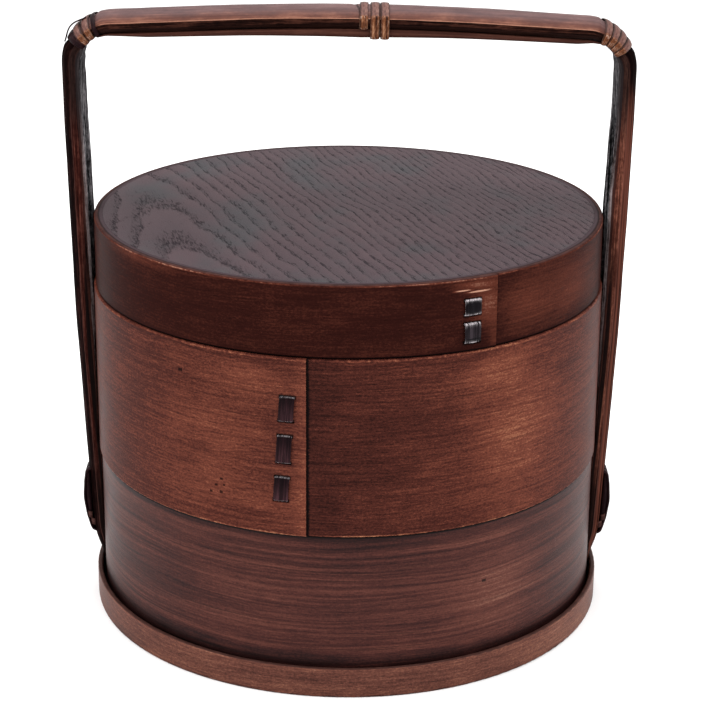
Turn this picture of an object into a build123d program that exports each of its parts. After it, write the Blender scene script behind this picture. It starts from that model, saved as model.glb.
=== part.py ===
"""Two-tier round bentwood food carrier, hung in a fixed handle of bent split bamboo.

Millimetres, +Z up. The origin is the middle of the circle that the base hoop stands on. The drum's
axis is Z, the handle's legs stand at -X and +X, and the front faces -Y. An angle round the drum is
counted from the front, positive towards +X.
"""

import os
from math import atan2, cos, radians, sin, sqrt

from build123d import *

os.makedirs("parts", exist_ok=True)

# Heights of the stacked joints, from the floor up
BASE_HOOP_TOP = 14.1
TIER_JOINT = 77.6
LID_JOINT = 160.4
LID_TOP = 193.5

# Outer radii
BASE_RADIUS = 124.0
LOWER_RADIUS = 120.0
UPPER_RADIUS = 121.0
LID_RADIUS = 120.0

# Inner radii: each spigot hoop runs inside the wall below it with a radial gap of about 0.35
LOWER_BORE = 116.6
UPPER_BORE = 116.3
LID_BORE = 116.0
GLUE_LINE = 0.05
HOOP_THICKNESS = 3.7

# Boards and inner hoops
BOARD = 5.0
BASE_BOARD = 6.0
LID_BOARD = 6.0
WALL_FOOT = 2.0
BASE_BOARD_TOP = 16.0
SPIGOT_REACH = 8.0
TIER_RECESS = 7.0
EASED_EDGE = 0.8
BASE_EASED_EDGE = 0.6
LID_RIM = 0.95

# Rebate inside the base hoop for the ends of the handle's legs
REBATE_FLOOR = 5.0
REBATE_RADIUS = 121.6

# The lap of each bent board: its outer end overlies the other end and stands proud of it
LAP_ANGLE = 30.0
LAP_STEP = 1.0
BASE_LAP_STEP = 0.8
UPPER_SEAM = -8.4
LID_SEAM = 32.1
LOWER_SEAM = 168.0
BASE_SEAM = 140.0

# Bark ribbons that sew the laps: angle of the middle, lean to the right at the top, and width
RIBBON = 0.6
LOWER_RIBBON = (LOWER_SEAM - 4.0, 0.0, 7.0)
UPPER_RIBBON = (UPPER_SEAM - 4.6, 3.6, 6.8)
LID_RIBBON = (LID_SEAM - 5.8, 0.0, 7.9)
BASE_RIBBON = (BASE_SEAM - 4.0, 0.0, 7.0)
SLIT_HEIGHT = 1.1
SLIT_SPARE = 0.6
RIBBON_TAIL = 3.6
BASE_RIBBON_TAIL = 1.2
UPPER_RUNS = [(142.8, 131.7), (124.7, 112.2), (105.2, 94.2)]
LID_RUNS = [(183.9, 177.2), (173.2, 164.6)]
LOWER_RUNS = [(63.5, 53.0), (46.0, 35.0), (28.5, 21.5)]
BASE_RUNS = [(10.8, 7.0)]

# Handle: the line of the bamboo skin's crown, from the left foot over the top to the right foot
LEG_CROWN = 133.3
FOOT_CROWN = 121.45
FOOT_TIP = 7.0
LEFT_CORNER = 286.6
RIGHT_CORNER = 284.6
PEAK = (5.0, 292.0)
PEAK_RADIUS = 1300.0
CORNER_RADIUS = 25.0
LEG_LINE = [(FOOT_CROWN, 14.0), (126.4, 28.0), (131.4, 142.0), (LEG_CROWN, 240.0)]
LEG_BENDS = [30.0, 50.0, 1500.0, 1000.0]

# Section of the split bamboo, measured inwards from the crown and out from the middle
HALF_WIDTH = 11.75
ARRIS_DEPTH = 4.7
EDGE_DEPTH = 7.6
BOW_DEPTH = 9.5
INNER_HALF_WIDTH = 9.95
GROOVE_DEPTH = 5.0
LEG_GAP = 0.35
FOOT_GAP = 0.1

# Strip under the crossbar: thin at its ends, and swelling to just under 4 in the middle
STRIP_HALF_WIDTH = 11.0
STRIP_END = 115.2
STRIP_TIP = 2.2
STRIP_KNEE = 5.2
STRIP_ROOM = 4.0
# How far each end tapers, its thickness at the very end, and how the knee there is rounded
LEFT_TAPER, LEFT_TIP, LEFT_EASE = 16.0, 1.2, 40.0
RIGHT_TAPER, RIGHT_TIP, RIGHT_EASE = 9.0, 1.6, 30.0

# Rattan
CANE = 1.0
CANE_GAP = 0.08
CORNER_TURN = 12.9
CORNER_STARTS = [21.0, 34.7, 48.4]
CORNER_ROOM = 1.2
LASHING_TOP = 61.2
LASHING_BOTTOM = 27.8
LASHING_CANE = 1.3
STRAND_WIDTH = 4.0
STRAND_PITCH = 4.3
LASHING_SLOT = 2.2
LASHING_BULGE = (130.0, 46.5)
LOOP_LOW = 126.9
LOOP_HIGH = 128.7
BINDING_HEIGHTS = [33.2, 37.0]
BINDING_WIDTH = 3.4


def rim(radius, angle):
    """Point on a circle round the drum's axis, seen from above."""
    return (radius * sin(radians(angle)), -radius * cos(radians(angle)))


def ribbon_face(ribbon, runs):
    """Plane through the drum's axis behind a ribbon: x runs across the ribbon, y up it, z outwards."""
    angle, lean, _ = ribbon
    middle = (runs[0][0] + runs[-1][1]) / 2
    level = cos(radians(lean))
    across = (cos(radians(angle)) * level, sin(radians(angle)) * level, -sin(radians(lean)))
    leaning = Plane(origin=(0, 0, middle), x_dir=across, z_dir=(*rim(1, angle), 0))
    foot = leaning.from_local_coords((0, -middle, 0))
    return Plane(origin=foot, x_dir=across, z_dir=leaning.z_dir)


def ribbon_side(ribbon, runs):
    """Plane that slices a ribbon along its middle: x runs outwards from the drum's axis, y up it."""
    face = ribbon_face(ribbon, runs)
    return Plane(origin=face.origin, x_dir=face.z_dir, z_dir=-face.x_dir)


def lap_outline(outer, seam, step):
    """Outer edge of a bent board: round once, then out over its own end, and down at the seam."""
    start = seam - LAP_ANGLE
    CenterArc((0, 0), outer, seam - 90, 360 - LAP_ANGLE)
    TangentArc(rim(outer, start), rim(outer + step, seam), tangent=(cos(radians(start)), sin(radians(start))))
    Line(rim(outer + step, seam), rim(outer, seam))


def cut_slits(inner, outer, ribbon, runs):
    """Cuts the slit at each end of each outer run of the ribbon."""
    with BuildSketch(ribbon_face(ribbon, runs).offset(inner - 1)) as slits:
        with Locations(*[(0, z) for run in runs for z in run]):
            Rectangle(ribbon[2] + SLIT_SPARE, SLIT_HEIGHT)
    extrude(slits.sketch, amount=outer - inner + 4, mode=Mode.SUBTRACT)


def ease_rims(face, radius):
    """Rounds the circular edges of a hoop's end face."""
    fillet([edge for edge in face.edges() if edge.geom_type == GeomType.CIRCLE], radius)


def ribbon_path(inner, outer, runs, tail):
    """Line of the ribbon seen from its side: in and out through the slits, from the top down."""
    inside = inner - 0.1 - RIBBON / 2
    outside = outer + LAP_STEP + 0.1 + RIBBON / 2
    points = [(inside, runs[0][0] + tail)]
    for high, low in runs:
        points += [(inside, high), (outside, high), (outside, low), (inside, low)]
    return points + [(inside, runs[-1][1] - tail)]


def arch_centre():
    """Centre of the shallow arc at the top of the crossbar."""
    left = atan2(PEAK[1] - LEFT_CORNER, PEAK[0] + LEG_CROWN)
    right = atan2(PEAK[1] - RIGHT_CORNER, LEG_CROWN - PEAK[0])
    tilt = (left - right) / 2
    reach = PEAK_RADIUS / cos((left + right) / 2)
    return (PEAK[0] + reach * sin(tilt), PEAK[1] - reach * cos(tilt))


def crown_height(x):
    """Height of the crossbar's crown over the middle stretch."""
    centre = arch_centre()
    return centre[1] + sqrt(PEAK_RADIUS**2 - (x - centre[0]) ** 2)


def corner_centre(side):
    """Centre of the bend at the left (-1) or right (+1) corner of the handle, in X and Z."""
    height = RIGHT_CORNER if side > 0 else LEFT_CORNER
    slope = atan2(PEAK[1] - height, LEG_CROWN - side * PEAK[0])
    at_centre = height + CORNER_RADIUS * sin(slope) / cos(slope)
    return (side * (LEG_CROWN - CORNER_RADIUS), at_centre - CORNER_RADIUS / cos(slope))


def bow_outline(grow, depth):
    """Closed outline round the bamboo, this much outside its skin and down to this depth."""
    half = HALF_WIDTH + grow
    ThreePointArc((ARRIS_DEPTH, -half), (-grow, 0), (ARRIS_DEPTH, half))
    Polyline((ARRIS_DEPTH, half), (depth, half), (depth, -half), (ARRIS_DEPTH, -half))


# ---- Lower tier ----

with BuildPart() as lower_tier_wall:
    with BuildSketch(Plane.XY.offset(WALL_FOOT)):
        with BuildLine():
            lap_outline(LOWER_RADIUS, LOWER_SEAM, LAP_STEP)
        make_face()
        Circle(LOWER_BORE, mode=Mode.SUBTRACT)
    extrude(amount=TIER_JOINT - WALL_FOOT)
    ease_rims(lower_tier_wall.faces().sort_by(Axis.Z)[0], EASED_EDGE)
    ease_rims(lower_tier_wall.faces().sort_by(Axis.Z)[-1], EASED_EDGE)
    cut_slits(LOWER_BORE, LOWER_RADIUS, LOWER_RIBBON, LOWER_RUNS)
    with BuildSketch(Plane.YZ):
        with Locations((0, LASHING_TOP), (0, LASHING_BOTTOM)):
            Rectangle(2 * STRAND_PITCH + STRAND_WIDTH + 0.8, LASHING_SLOT)
    extrude(amount=LEG_CROWN, both=True, mode=Mode.SUBTRACT)
    # The lap is pared flush where the base hoop grips the foot
    with BuildSketch():
        Circle(BASE_RADIUS)
        Circle(LOWER_RADIUS, mode=Mode.SUBTRACT)
    extrude(amount=REBATE_FLOOR + GLUE_LINE, mode=Mode.SUBTRACT)
lower_tier_wall.part.label = "lower_tier_wall"
export_step(lower_tier_wall.part, "parts/lower_tier_wall.step")

with BuildPart() as lower_tier_bottom:
    with BuildSketch(Plane.XY.offset(BASE_BOARD_TOP - BASE_BOARD)):
        Circle(LOWER_BORE - GLUE_LINE)
    extrude(amount=BASE_BOARD)
lower_tier_bottom.part.label = "lower_tier_bottom"
export_step(lower_tier_bottom.part, "parts/lower_tier_bottom.step")

with BuildPart() as lower_tier_support_hoop:
    with BuildSketch(Plane.XY.offset(WALL_FOOT)):
        Circle(LOWER_BORE - GLUE_LINE)
        Circle(LOWER_BORE - GLUE_LINE - HOOP_THICKNESS, mode=Mode.SUBTRACT)
    extrude(amount=BASE_BOARD_TOP - BASE_BOARD - WALL_FOOT)
    chamfer(lower_tier_support_hoop.edges().group_by(Axis.Z)[0], EASED_EDGE / 2)
lower_tier_support_hoop.part.label = "lower_tier_support_hoop"
export_step(lower_tier_support_hoop.part, "parts/lower_tier_support_hoop.step")

# ---- Base hoop: thick at the foot, rebated above it to hold the ends of the handle's legs ----

with BuildPart() as base_hoop:
    with BuildSketch():
        with BuildLine():
            lap_outline(BASE_RADIUS, BASE_SEAM, BASE_LAP_STEP)
        make_face()
        Circle(LOWER_RADIUS + GLUE_LINE, mode=Mode.SUBTRACT)
    extrude(amount=BASE_HOOP_TOP)
    with BuildSketch(Plane.XY.offset(REBATE_FLOOR)):
        Circle(REBATE_RADIUS)
    extrude(amount=BASE_HOOP_TOP, mode=Mode.SUBTRACT)
    ease_rims(base_hoop.faces().sort_by(Axis.Z)[0], BASE_EASED_EDGE)
    ease_rims(base_hoop.faces().sort_by(Axis.Z)[-1], BASE_EASED_EDGE)
    cut_slits(REBATE_RADIUS, BASE_RADIUS, BASE_RIBBON, BASE_RUNS)
base_hoop.part.label = "base_hoop"
export_step(base_hoop.part, "parts/base_hoop.step")

# ---- Upper tier ----

UPPER_BOARD_FOOT = TIER_JOINT + TIER_RECESS

with BuildPart() as upper_tier_wall:
    with BuildSketch(Plane.XY.offset(TIER_JOINT)):
        with BuildLine():
            lap_outline(UPPER_RADIUS, UPPER_SEAM, LAP_STEP)
        make_face()
        Circle(UPPER_BORE, mode=Mode.SUBTRACT)
    extrude(amount=LID_JOINT - TIER_JOINT)
    ease_rims(upper_tier_wall.faces().sort_by(Axis.Z)[0], EASED_EDGE)
    ease_rims(upper_tier_wall.faces().sort_by(Axis.Z)[-1], EASED_EDGE)
    cut_slits(UPPER_BORE, UPPER_RADIUS, UPPER_RIBBON, UPPER_RUNS)
upper_tier_wall.part.label = "upper_tier_wall"
export_step(upper_tier_wall.part, "parts/upper_tier_wall.step")

with BuildPart() as upper_tier_bottom:
    with BuildSketch(Plane.XY.offset(UPPER_BOARD_FOOT)):
        Circle(UPPER_BORE - GLUE_LINE)
    extrude(amount=BOARD)
upper_tier_bottom.part.label = "upper_tier_bottom"
export_step(upper_tier_bottom.part, "parts/upper_tier_bottom.step")

with BuildPart() as upper_tier_spigot_hoop:
    with BuildSketch(Plane.XY.offset(TIER_JOINT - SPIGOT_REACH)):
        Circle(UPPER_BORE - GLUE_LINE)
        Circle(UPPER_BORE - GLUE_LINE - HOOP_THICKNESS, mode=Mode.SUBTRACT)
    extrude(amount=UPPER_BOARD_FOOT - TIER_JOINT + SPIGOT_REACH)
    chamfer(upper_tier_spigot_hoop.edges().group_by(Axis.Z)[0], EASED_EDGE)
upper_tier_spigot_hoop.part.label = "upper_tier_spigot_hoop"
export_step(upper_tier_spigot_hoop.part, "parts/upper_tier_spigot_hoop.step")

# ---- Lid ----

with BuildPart() as lid_band:
    with BuildSketch(Plane.XY.offset(LID_JOINT)):
        with BuildLine():
            lap_outline(LID_RADIUS, LID_SEAM, LAP_STEP)
        make_face()
        Circle(LID_BORE, mode=Mode.SUBTRACT)
    extrude(amount=LID_TOP - LID_JOINT)
    ease_rims(lid_band.faces().sort_by(Axis.Z)[0], EASED_EDGE)
    # Only the outer edge is rounded on top, where the board is planed flush with the band
    top_edges = lid_band.faces().sort_by(Axis.Z)[-1].outer_wire().edges()
    fillet([edge for edge in top_edges if edge.geom_type == GeomType.CIRCLE], LID_RIM)
    cut_slits(LID_BORE, LID_RADIUS, LID_RIBBON, LID_RUNS)
lid_band.part.label = "lid_band"
export_step(lid_band.part, "parts/lid_band.step")

with BuildPart() as lid_top:
    with BuildSketch(Plane.XY.offset(LID_TOP - LID_BOARD)):
        Circle(LID_BORE - GLUE_LINE)
    extrude(amount=LID_BOARD)
lid_top.part.label = "lid_top"
export_step(lid_top.part, "parts/lid_top.step")

with BuildPart() as lid_spigot_hoop:
    with BuildSketch(Plane.XY.offset(LID_JOINT - SPIGOT_REACH)):
        Circle(LID_BORE - GLUE_LINE)
        Circle(LID_BORE - GLUE_LINE - HOOP_THICKNESS, mode=Mode.SUBTRACT)
    extrude(amount=LID_TOP - LID_BOARD - LID_JOINT + SPIGOT_REACH)
    chamfer(lid_spigot_hoop.edges().group_by(Axis.Z)[0], EASED_EDGE)
    # Relief behind the stitches, so that the hoop seats against the band
    relief_top = LID_RUNS[0][0] + RIBBON_TAIL + 1
    relief_bottom = LID_RUNS[-1][1] - RIBBON_TAIL - 1
    with BuildSketch(ribbon_face(LID_RIBBON, LID_RUNS).offset(LID_BORE - 1.4)):
        with Locations((0, (relief_top + relief_bottom) / 2)):
            Rectangle(LID_RIBBON[2] + 2, relief_top - relief_bottom)
    extrude(amount=4, mode=Mode.SUBTRACT)
lid_spigot_hoop.part.label = "lid_spigot_hoop"
export_step(lid_spigot_hoop.part, "parts/lid_spigot_hoop.step")

# ---- Bark ribbons, one to each lap ----

SEWN_LAPS = {
    "lower_tier_stitches": (LOWER_BORE, LOWER_RADIUS, LOWER_RIBBON, LOWER_RUNS, RIBBON_TAIL),
    "upper_tier_stitches": (UPPER_BORE, UPPER_RADIUS, UPPER_RIBBON, UPPER_RUNS, RIBBON_TAIL),
    "lid_stitches": (LID_BORE, LID_RADIUS, LID_RIBBON, LID_RUNS, RIBBON_TAIL),
    "base_hoop_stitches": (REBATE_RADIUS, BASE_RADIUS, BASE_RIBBON, BASE_RUNS, BASE_RIBBON_TAIL),
}
for name, (inner, outer, ribbon, runs, tail) in SEWN_LAPS.items():
    with BuildPart() as stitches:
        with BuildSketch(ribbon_side(ribbon, runs)):
            with BuildLine():
                FilletPolyline(*ribbon_path(inner, outer, runs, tail), radius=0.35)
            trace(line_width=RIBBON)
        extrude(amount=ribbon[2] / 2, both=True)
    stitches.part.label = name
    export_step(stitches.part, f"parts/{name}.step")

# ---- Handle ----

with BuildPart() as handle_bow:
    left_leg = [(-x, z) for x, z in LEG_LINE]
    with BuildLine(Plane.XZ) as crown_line:
        FilletPolyline(
            (-FOOT_CROWN, FOOT_TIP),
            *left_leg,
            (-LEG_CROWN, LEFT_CORNER),
            PEAK,
            (LEG_CROWN, RIGHT_CORNER),
            *reversed(LEG_LINE),
            (FOOT_CROWN, FOOT_TIP),
            radius=[*LEG_BENDS, CORNER_RADIUS, PEAK_RADIUS, CORNER_RADIUS, *reversed(LEG_BENDS)],
        )
    foot_plane = Plane(origin=(-FOOT_CROWN, 0, FOOT_TIP), x_dir=(1, 0, 0), z_dir=(0, 0, 1))
    with BuildSketch(foot_plane) as bow_section:
        with BuildLine():
            ThreePointArc((ARRIS_DEPTH, -HALF_WIDTH), (0, 0), (ARRIS_DEPTH, HALF_WIDTH))
            Polyline((ARRIS_DEPTH, HALF_WIDTH), (EDGE_DEPTH, HALF_WIDTH), (BOW_DEPTH, INNER_HALF_WIDTH))
            ThreePointArc((BOW_DEPTH, INNER_HALF_WIDTH), (GROOVE_DEPTH, 0), (BOW_DEPTH, -INNER_HALF_WIDTH))
            Polyline((BOW_DEPTH, -INNER_HALF_WIDTH), (EDGE_DEPTH, -HALF_WIDTH), (ARRIS_DEPTH, -HALF_WIDTH))
        make_face()
        fillet(bow_section.vertices().group_by(Axis.X)[0], 0.6)
    sweep(path=crown_line.wire())
    # The legs are pared away inside to hug the drum
    with BuildSketch():
        Circle(LOWER_RADIUS + FOOT_GAP)
    extrude(amount=TIER_JOINT, mode=Mode.SUBTRACT)
    with BuildSketch(Plane.XY.offset(TIER_JOINT - 1)):
        Circle(UPPER_RADIUS + LEG_GAP)
    extrude(amount=LID_TOP - TIER_JOINT + 1, mode=Mode.SUBTRACT)
    # The feet are thinned outside to fit in the base hoop's rebate
    with BuildSketch():
        Circle(LEG_CROWN + 5)
        Circle(REBATE_RADIUS - GLUE_LINE, mode=Mode.SUBTRACT)
    extrude(amount=BASE_HOOP_TOP + GLUE_LINE, mode=Mode.SUBTRACT)
    with BuildSketch(Plane.YZ):
        with Locations((0, LASHING_TOP), (0, LASHING_BOTTOM)):
            Rectangle(2 * STRAND_PITCH + STRAND_WIDTH + 0.8, LASHING_SLOT)
    extrude(amount=LEG_CROWN, both=True, mode=Mode.SUBTRACT)
handle_bow.part.label = "handle_bow"
export_step(handle_bow.part, "parts/handle_bow.step")

with BuildPart() as handle_grip_strip:
    top = BOW_DEPTH + GLUE_LINE
    left_slope = (PEAK[1] - LEFT_CORNER) / (PEAK[0] + LEG_CROWN)
    right_slope = (PEAK[1] - RIGHT_CORNER) / (LEG_CROWN - PEAK[0])
    left_end = PEAK[1] - left_slope * (PEAK[0] + STRIP_END)
    right_end = PEAK[1] - right_slope * (STRIP_END - PEAK[0])
    with BuildSketch(Plane.XZ):
        with BuildLine():
            FilletPolyline(
                (-STRIP_END, left_end - top),
                (PEAK[0], PEAK[1] - top),
                (STRIP_END, right_end - top),
                radius=PEAK_RADIUS,
            )
            Line((STRIP_END, right_end - top), (STRIP_END, right_end - top - RIGHT_TIP))
            FilletPolyline(
                (STRIP_END, right_end - top - RIGHT_TIP),
                (STRIP_END - RIGHT_TAPER, right_end + RIGHT_TAPER * right_slope - top - STRIP_TIP),
                (PEAK[0], PEAK[1] - top - STRIP_KNEE),
                (-STRIP_END + LEFT_TAPER, left_end + LEFT_TAPER * left_slope - top - STRIP_TIP),
                (-STRIP_END, left_end - top - LEFT_TIP),
                radius=[RIGHT_EASE, PEAK_RADIUS, LEFT_EASE],
            )
            Line((-STRIP_END, left_end - top - LEFT_TIP), (-STRIP_END, left_end - top))
        make_face()
    extrude(amount=STRIP_HALF_WIDTH, both=True)
    add(handle_bow.part, mode=Mode.SUBTRACT)
handle_grip_strip.part.label = "handle_grip_strip"
export_step(handle_grip_strip.part, "parts/handle_grip_strip.step")

# ---- Rattan round the crossbar ----

CENTRE_WRAPS = [(4.4, 4.0, False), (9.4, 4.3, True), (14.1, 4.2, True)]

with BuildPart() as centre_lashing:
    for start, width, round_both in CENTRE_WRAPS:
        depth = BOW_DEPTH + GLUE_LINE + STRIP_ROOM if round_both else BOW_DEPTH - CANE_GAP
        origin = (start, 0, crown_height(start + width / 2))
        with BuildSketch(Plane(origin=origin, x_dir=(0, 0, -1), z_dir=(1, 0, 0))):
            with BuildLine():
                bow_outline(CANE_GAP + CANE, depth + CANE_GAP + (CANE if round_both else 0))
            make_face()
            with BuildLine():
                bow_outline(CANE_GAP, depth + CANE_GAP + (0 if round_both else 1))
            make_face(mode=Mode.SUBTRACT)
        extrude(amount=width)
centre_lashing.part.label = "centre_lashing"
export_step(centre_lashing.part, "parts/centre_lashing.step")

for name, side in {"left_corner_lashing": -1, "right_corner_lashing": 1}.items():
    centre = corner_centre(side)
    bend_axis = Axis((centre[0], 0, centre[1]), (0, side, 0))
    with BuildPart() as corner_lashing:
        for number, start in enumerate(CORNER_STARTS):
            depth = BOW_DEPTH + (CORNER_ROOM if number == 0 else 0)
            outwards = (side * sin(radians(start)), 0, cos(radians(start)))
            crown = (centre[0] + CORNER_RADIUS * outwards[0], 0, centre[1] + CORNER_RADIUS * outwards[2])
            inwards = (-outwards[0], 0, -outwards[2])
            along = (side * cos(radians(start)), 0, -sin(radians(start)))
            with BuildSketch(Plane(origin=crown, x_dir=inwards, z_dir=along)):
                with BuildLine():
                    bow_outline(CANE_GAP + CANE, depth + CANE_GAP + CANE)
                make_face()
                with BuildLine():
                    bow_outline(CANE_GAP, depth + CANE_GAP)
                make_face(mode=Mode.SUBTRACT)
            revolve(axis=bend_axis, revolution_arc=CORNER_TURN)
    corner_lashing.part.label = name
    export_step(corner_lashing.part, f"parts/{name}.step")

# ---- Rattan loops that sew the legs to the lower tier, bound together near their lower end ----


def strand_arc(side, lift):
    """Bowed outer run of the loops, moved outwards by this much."""
    low, high = side * (LOOP_LOW + lift), side * (LOOP_HIGH + lift)
    bulge = (side * (LASHING_BULGE[0] + lift), LASHING_BULGE[1])
    return ThreePointArc((low, LASHING_BOTTOM), bulge, (high, LASHING_TOP))


for name, side in {"left_leg_lashing": -1, "right_leg_lashing": 1}.items():
    inside = side * (LOWER_BORE - 0.2 - LASHING_CANE / 2)
    strand_planes = [Plane.XZ.offset(STRAND_PITCH * place) for place in (-1, 0, 1)]
    bundle = STRAND_PITCH + STRAND_WIDTH / 2 + CANE_GAP
    with BuildPart() as leg_lashing:
        # The bindings go on as blocks, and are hollowed out for the bundle and cut back to the leg
        with BuildSketch(Plane.XZ):
            with BuildLine():
                outer_run = strand_arc(side, LASHING_CANE / 2 + CANE_GAP + CANE)
                Polyline(outer_run @ 1, (side * REBATE_RADIUS, LASHING_TOP))
                Polyline((side * REBATE_RADIUS, LASHING_TOP), (side * REBATE_RADIUS, LASHING_BOTTOM))
                Polyline((side * REBATE_RADIUS, LASHING_BOTTOM), outer_run @ 0)
            make_face()
            with Locations(*[(side * LEG_CROWN, height) for height in BINDING_HEIGHTS]):
                Rectangle(LEG_CROWN, BINDING_WIDTH, mode=Mode.INTERSECT)
        extrude(amount=bundle + CANE, both=True)
        with BuildSketch(Plane.XZ):
            with BuildLine():
                inner_run = strand_arc(side, LASHING_CANE / 2 + CANE_GAP)
                Polyline(inner_run @ 1, (0, LASHING_TOP))
                Polyline((0, LASHING_TOP), (0, LASHING_BOTTOM))
                Polyline((0, LASHING_BOTTOM), inner_run @ 0)
            make_face()
        extrude(amount=bundle, both=True, mode=Mode.SUBTRACT)
        add(handle_bow.part, mode=Mode.SUBTRACT)
        with BuildSketch(*strand_planes):
            with BuildLine():
                outer_run = strand_arc(side, 0)
                Polyline(outer_run @ 1, (inside, LASHING_TOP))
                Polyline((inside, LASHING_TOP), (inside, LASHING_BOTTOM))
                Polyline((inside, LASHING_BOTTOM), outer_run @ 0)
            make_face()
            offset(amount=LASHING_CANE / 2)
            offset(amount=-LASHING_CANE, mode=Mode.SUBTRACT)
        extrude(amount=STRAND_WIDTH / 2, both=True)
    leg_lashing.part.label = name
    export_step(leg_lashing.part, f"parts/{name}.step")
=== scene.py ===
"""Looks of a two-tier bentwood food carrier with a bamboo handle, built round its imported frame.

The scene is in metres, +Z up, in the frame's axes: the drum's axis is Z, the handle's legs stand at
-X and +X, and the front faces -Y. An angle round the drum is counted in degrees from the front,
positive towards +X. Shapes and materials are worked out in millimetres, which swept() makes metres.
"""

import math

import bpy
from mathutils import Matrix, Vector, noise


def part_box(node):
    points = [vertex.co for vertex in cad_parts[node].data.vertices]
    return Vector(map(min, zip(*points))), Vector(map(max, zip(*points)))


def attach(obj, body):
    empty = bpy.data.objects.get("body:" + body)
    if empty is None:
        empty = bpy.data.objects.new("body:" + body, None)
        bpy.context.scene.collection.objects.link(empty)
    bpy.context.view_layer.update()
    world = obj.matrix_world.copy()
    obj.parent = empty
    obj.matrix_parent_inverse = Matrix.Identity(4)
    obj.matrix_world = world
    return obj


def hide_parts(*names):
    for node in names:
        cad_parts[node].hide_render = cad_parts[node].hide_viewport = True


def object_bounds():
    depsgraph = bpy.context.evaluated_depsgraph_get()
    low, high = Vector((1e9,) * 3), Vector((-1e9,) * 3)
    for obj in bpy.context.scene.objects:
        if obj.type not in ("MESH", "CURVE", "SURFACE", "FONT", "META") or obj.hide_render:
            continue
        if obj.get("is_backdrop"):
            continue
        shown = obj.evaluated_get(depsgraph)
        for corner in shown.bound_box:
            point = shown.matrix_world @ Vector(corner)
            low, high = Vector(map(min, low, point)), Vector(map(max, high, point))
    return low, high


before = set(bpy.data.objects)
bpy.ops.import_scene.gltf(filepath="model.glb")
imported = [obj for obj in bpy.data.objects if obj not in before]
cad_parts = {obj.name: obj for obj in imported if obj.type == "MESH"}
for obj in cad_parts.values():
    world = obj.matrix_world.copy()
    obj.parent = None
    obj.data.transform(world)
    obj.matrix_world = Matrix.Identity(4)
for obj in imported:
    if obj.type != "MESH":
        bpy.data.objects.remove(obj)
cad_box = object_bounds()

MM = 0.001

# Places read from the frame, in millimetres
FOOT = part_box("base_hoop")[0].z / MM
BASE_HOOP_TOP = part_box("base_hoop")[1].z / MM
TIER_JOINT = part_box("upper_tier_wall")[0].z / MM
LID_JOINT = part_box("lid_band")[0].z / MM
LID_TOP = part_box("lid_band")[1].z / MM
UPPER_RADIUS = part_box("upper_tier_wall")[1].x / MM
DRUM_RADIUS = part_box("lid_band")[1].x / MM
BASE_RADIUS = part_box("base_hoop")[1].x / MM
LEG_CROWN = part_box("handle_bow")[1].x / MM
FOOT_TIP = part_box("handle_bow")[0].z / MM
LID_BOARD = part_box("lid_top")[1].x / MM
STRIP_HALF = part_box("handle_grip_strip")[1].y / MM

# Angles of the laps' ends
UPPER_SEAM, LID_SEAM, LOWER_SEAM, BASE_SEAM = -8.4, 32.1, 168.0, 140.0

# Bark ribbons: angle of the middle, lean and width, and top and bottom of each outer run
UPPER_RIBBON = (UPPER_SEAM - 4.6, 3.6, 6.8)
LID_RIBBON = (LID_SEAM - 5.8, 0.0, 7.9)
LOWER_RIBBON = (LOWER_SEAM - 4.0, 0.0, 7.0)
BASE_RIBBON = (BASE_SEAM - 4.0, 0.0, 7.0)
UPPER_RUNS = [(142.8, 131.7), (124.7, 112.2), (105.2, 94.2)]
LID_RUNS = [(183.9, 177.2), (173.2, 164.6)]
LOWER_RUNS = [(63.5, 53.0), (46.0, 35.0), (28.5, 21.5)]
BASE_RUNS = [(10.8, 7.0)]
RIBBON, TAIL, SHORT_TAIL = 0.55, 3.6, 1.2

# Line of the bow's crown, as X and Z, with the radius of each bend, and how a leg leans beside the drum
FOOT_CROWN = 121.45
LEG_LINE = [(FOOT_CROWN, 14.0), (126.4, 28.0), (131.4, 142.0), (133.3, 240.0)]
LEG_BENDS = [30.0, 50.0, 1500.0, 1000.0]
LEG_LEAN = 0.0439
LEFT_CORNER, RIGHT_CORNER, PEAK = 286.6, 284.6, (5.0, 292.0)
CORNER_RADIUS, PEAK_RADIUS = 25.0, 1300.0
BAR_LEVEL = 270.0

# Section of the bow, by depth under its crown, and of the strip under the crossbar
HALF_WIDTH, ARRIS_DEPTH, EDGE_DEPTH, BOW_DEPTH, INNER_HALF_WIDTH = 11.75, 4.7, 7.6, 9.5, 9.95
SKIN_RADIUS = (HALF_WIDTH**2 + ARRIS_DEPTH**2) / (2 * ARRIS_DEPTH)
GROOVE = 4.5
SNUG = 0.12
STRIP_ROOM, STRIP_MIDDLE, STRIP_TIP, STRIP_REACH = 4.0, 3.9, 1.9, 118.6
SKIN, SIDE, EDGE, HOLLOW, LEG_SKIN = range(5)

# How near the legs come to the drum, and the rebate in the base hoop that takes their ends
BESIDE_LOWER, BESIDE_UPPER, REBATE = 120.15, 121.4, 121.5

# Lashings on the legs: their height, their way through the wall, and their strands
LASHING_FOOT, LASHING_TOP, INSIDE_WALL = 27.8, 61.2, 115.75
STRAND_WIDTH, STRAND_THICKNESS, STRAND_PITCH = 4.15, 1.3, 4.3


# ---- Small tools for node materials ----


class Term:
    """Output of a node. Plain arithmetic with it adds Math nodes."""

    def __init__(self, paint, socket):
        self.paint = paint
        self.socket = socket

    def __add__(self, other):
        return self.paint.math("ADD", self, other)

    def __radd__(self, other):
        return self.paint.math("ADD", other, self)

    def __sub__(self, other):
        return self.paint.math("SUBTRACT", self, other)

    def __rsub__(self, other):
        return self.paint.math("SUBTRACT", other, self)

    def __mul__(self, other):
        return self.paint.math("MULTIPLY", self, other)

    def __abs__(self):
        return self.paint.math("ABSOLUTE", self)


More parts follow.
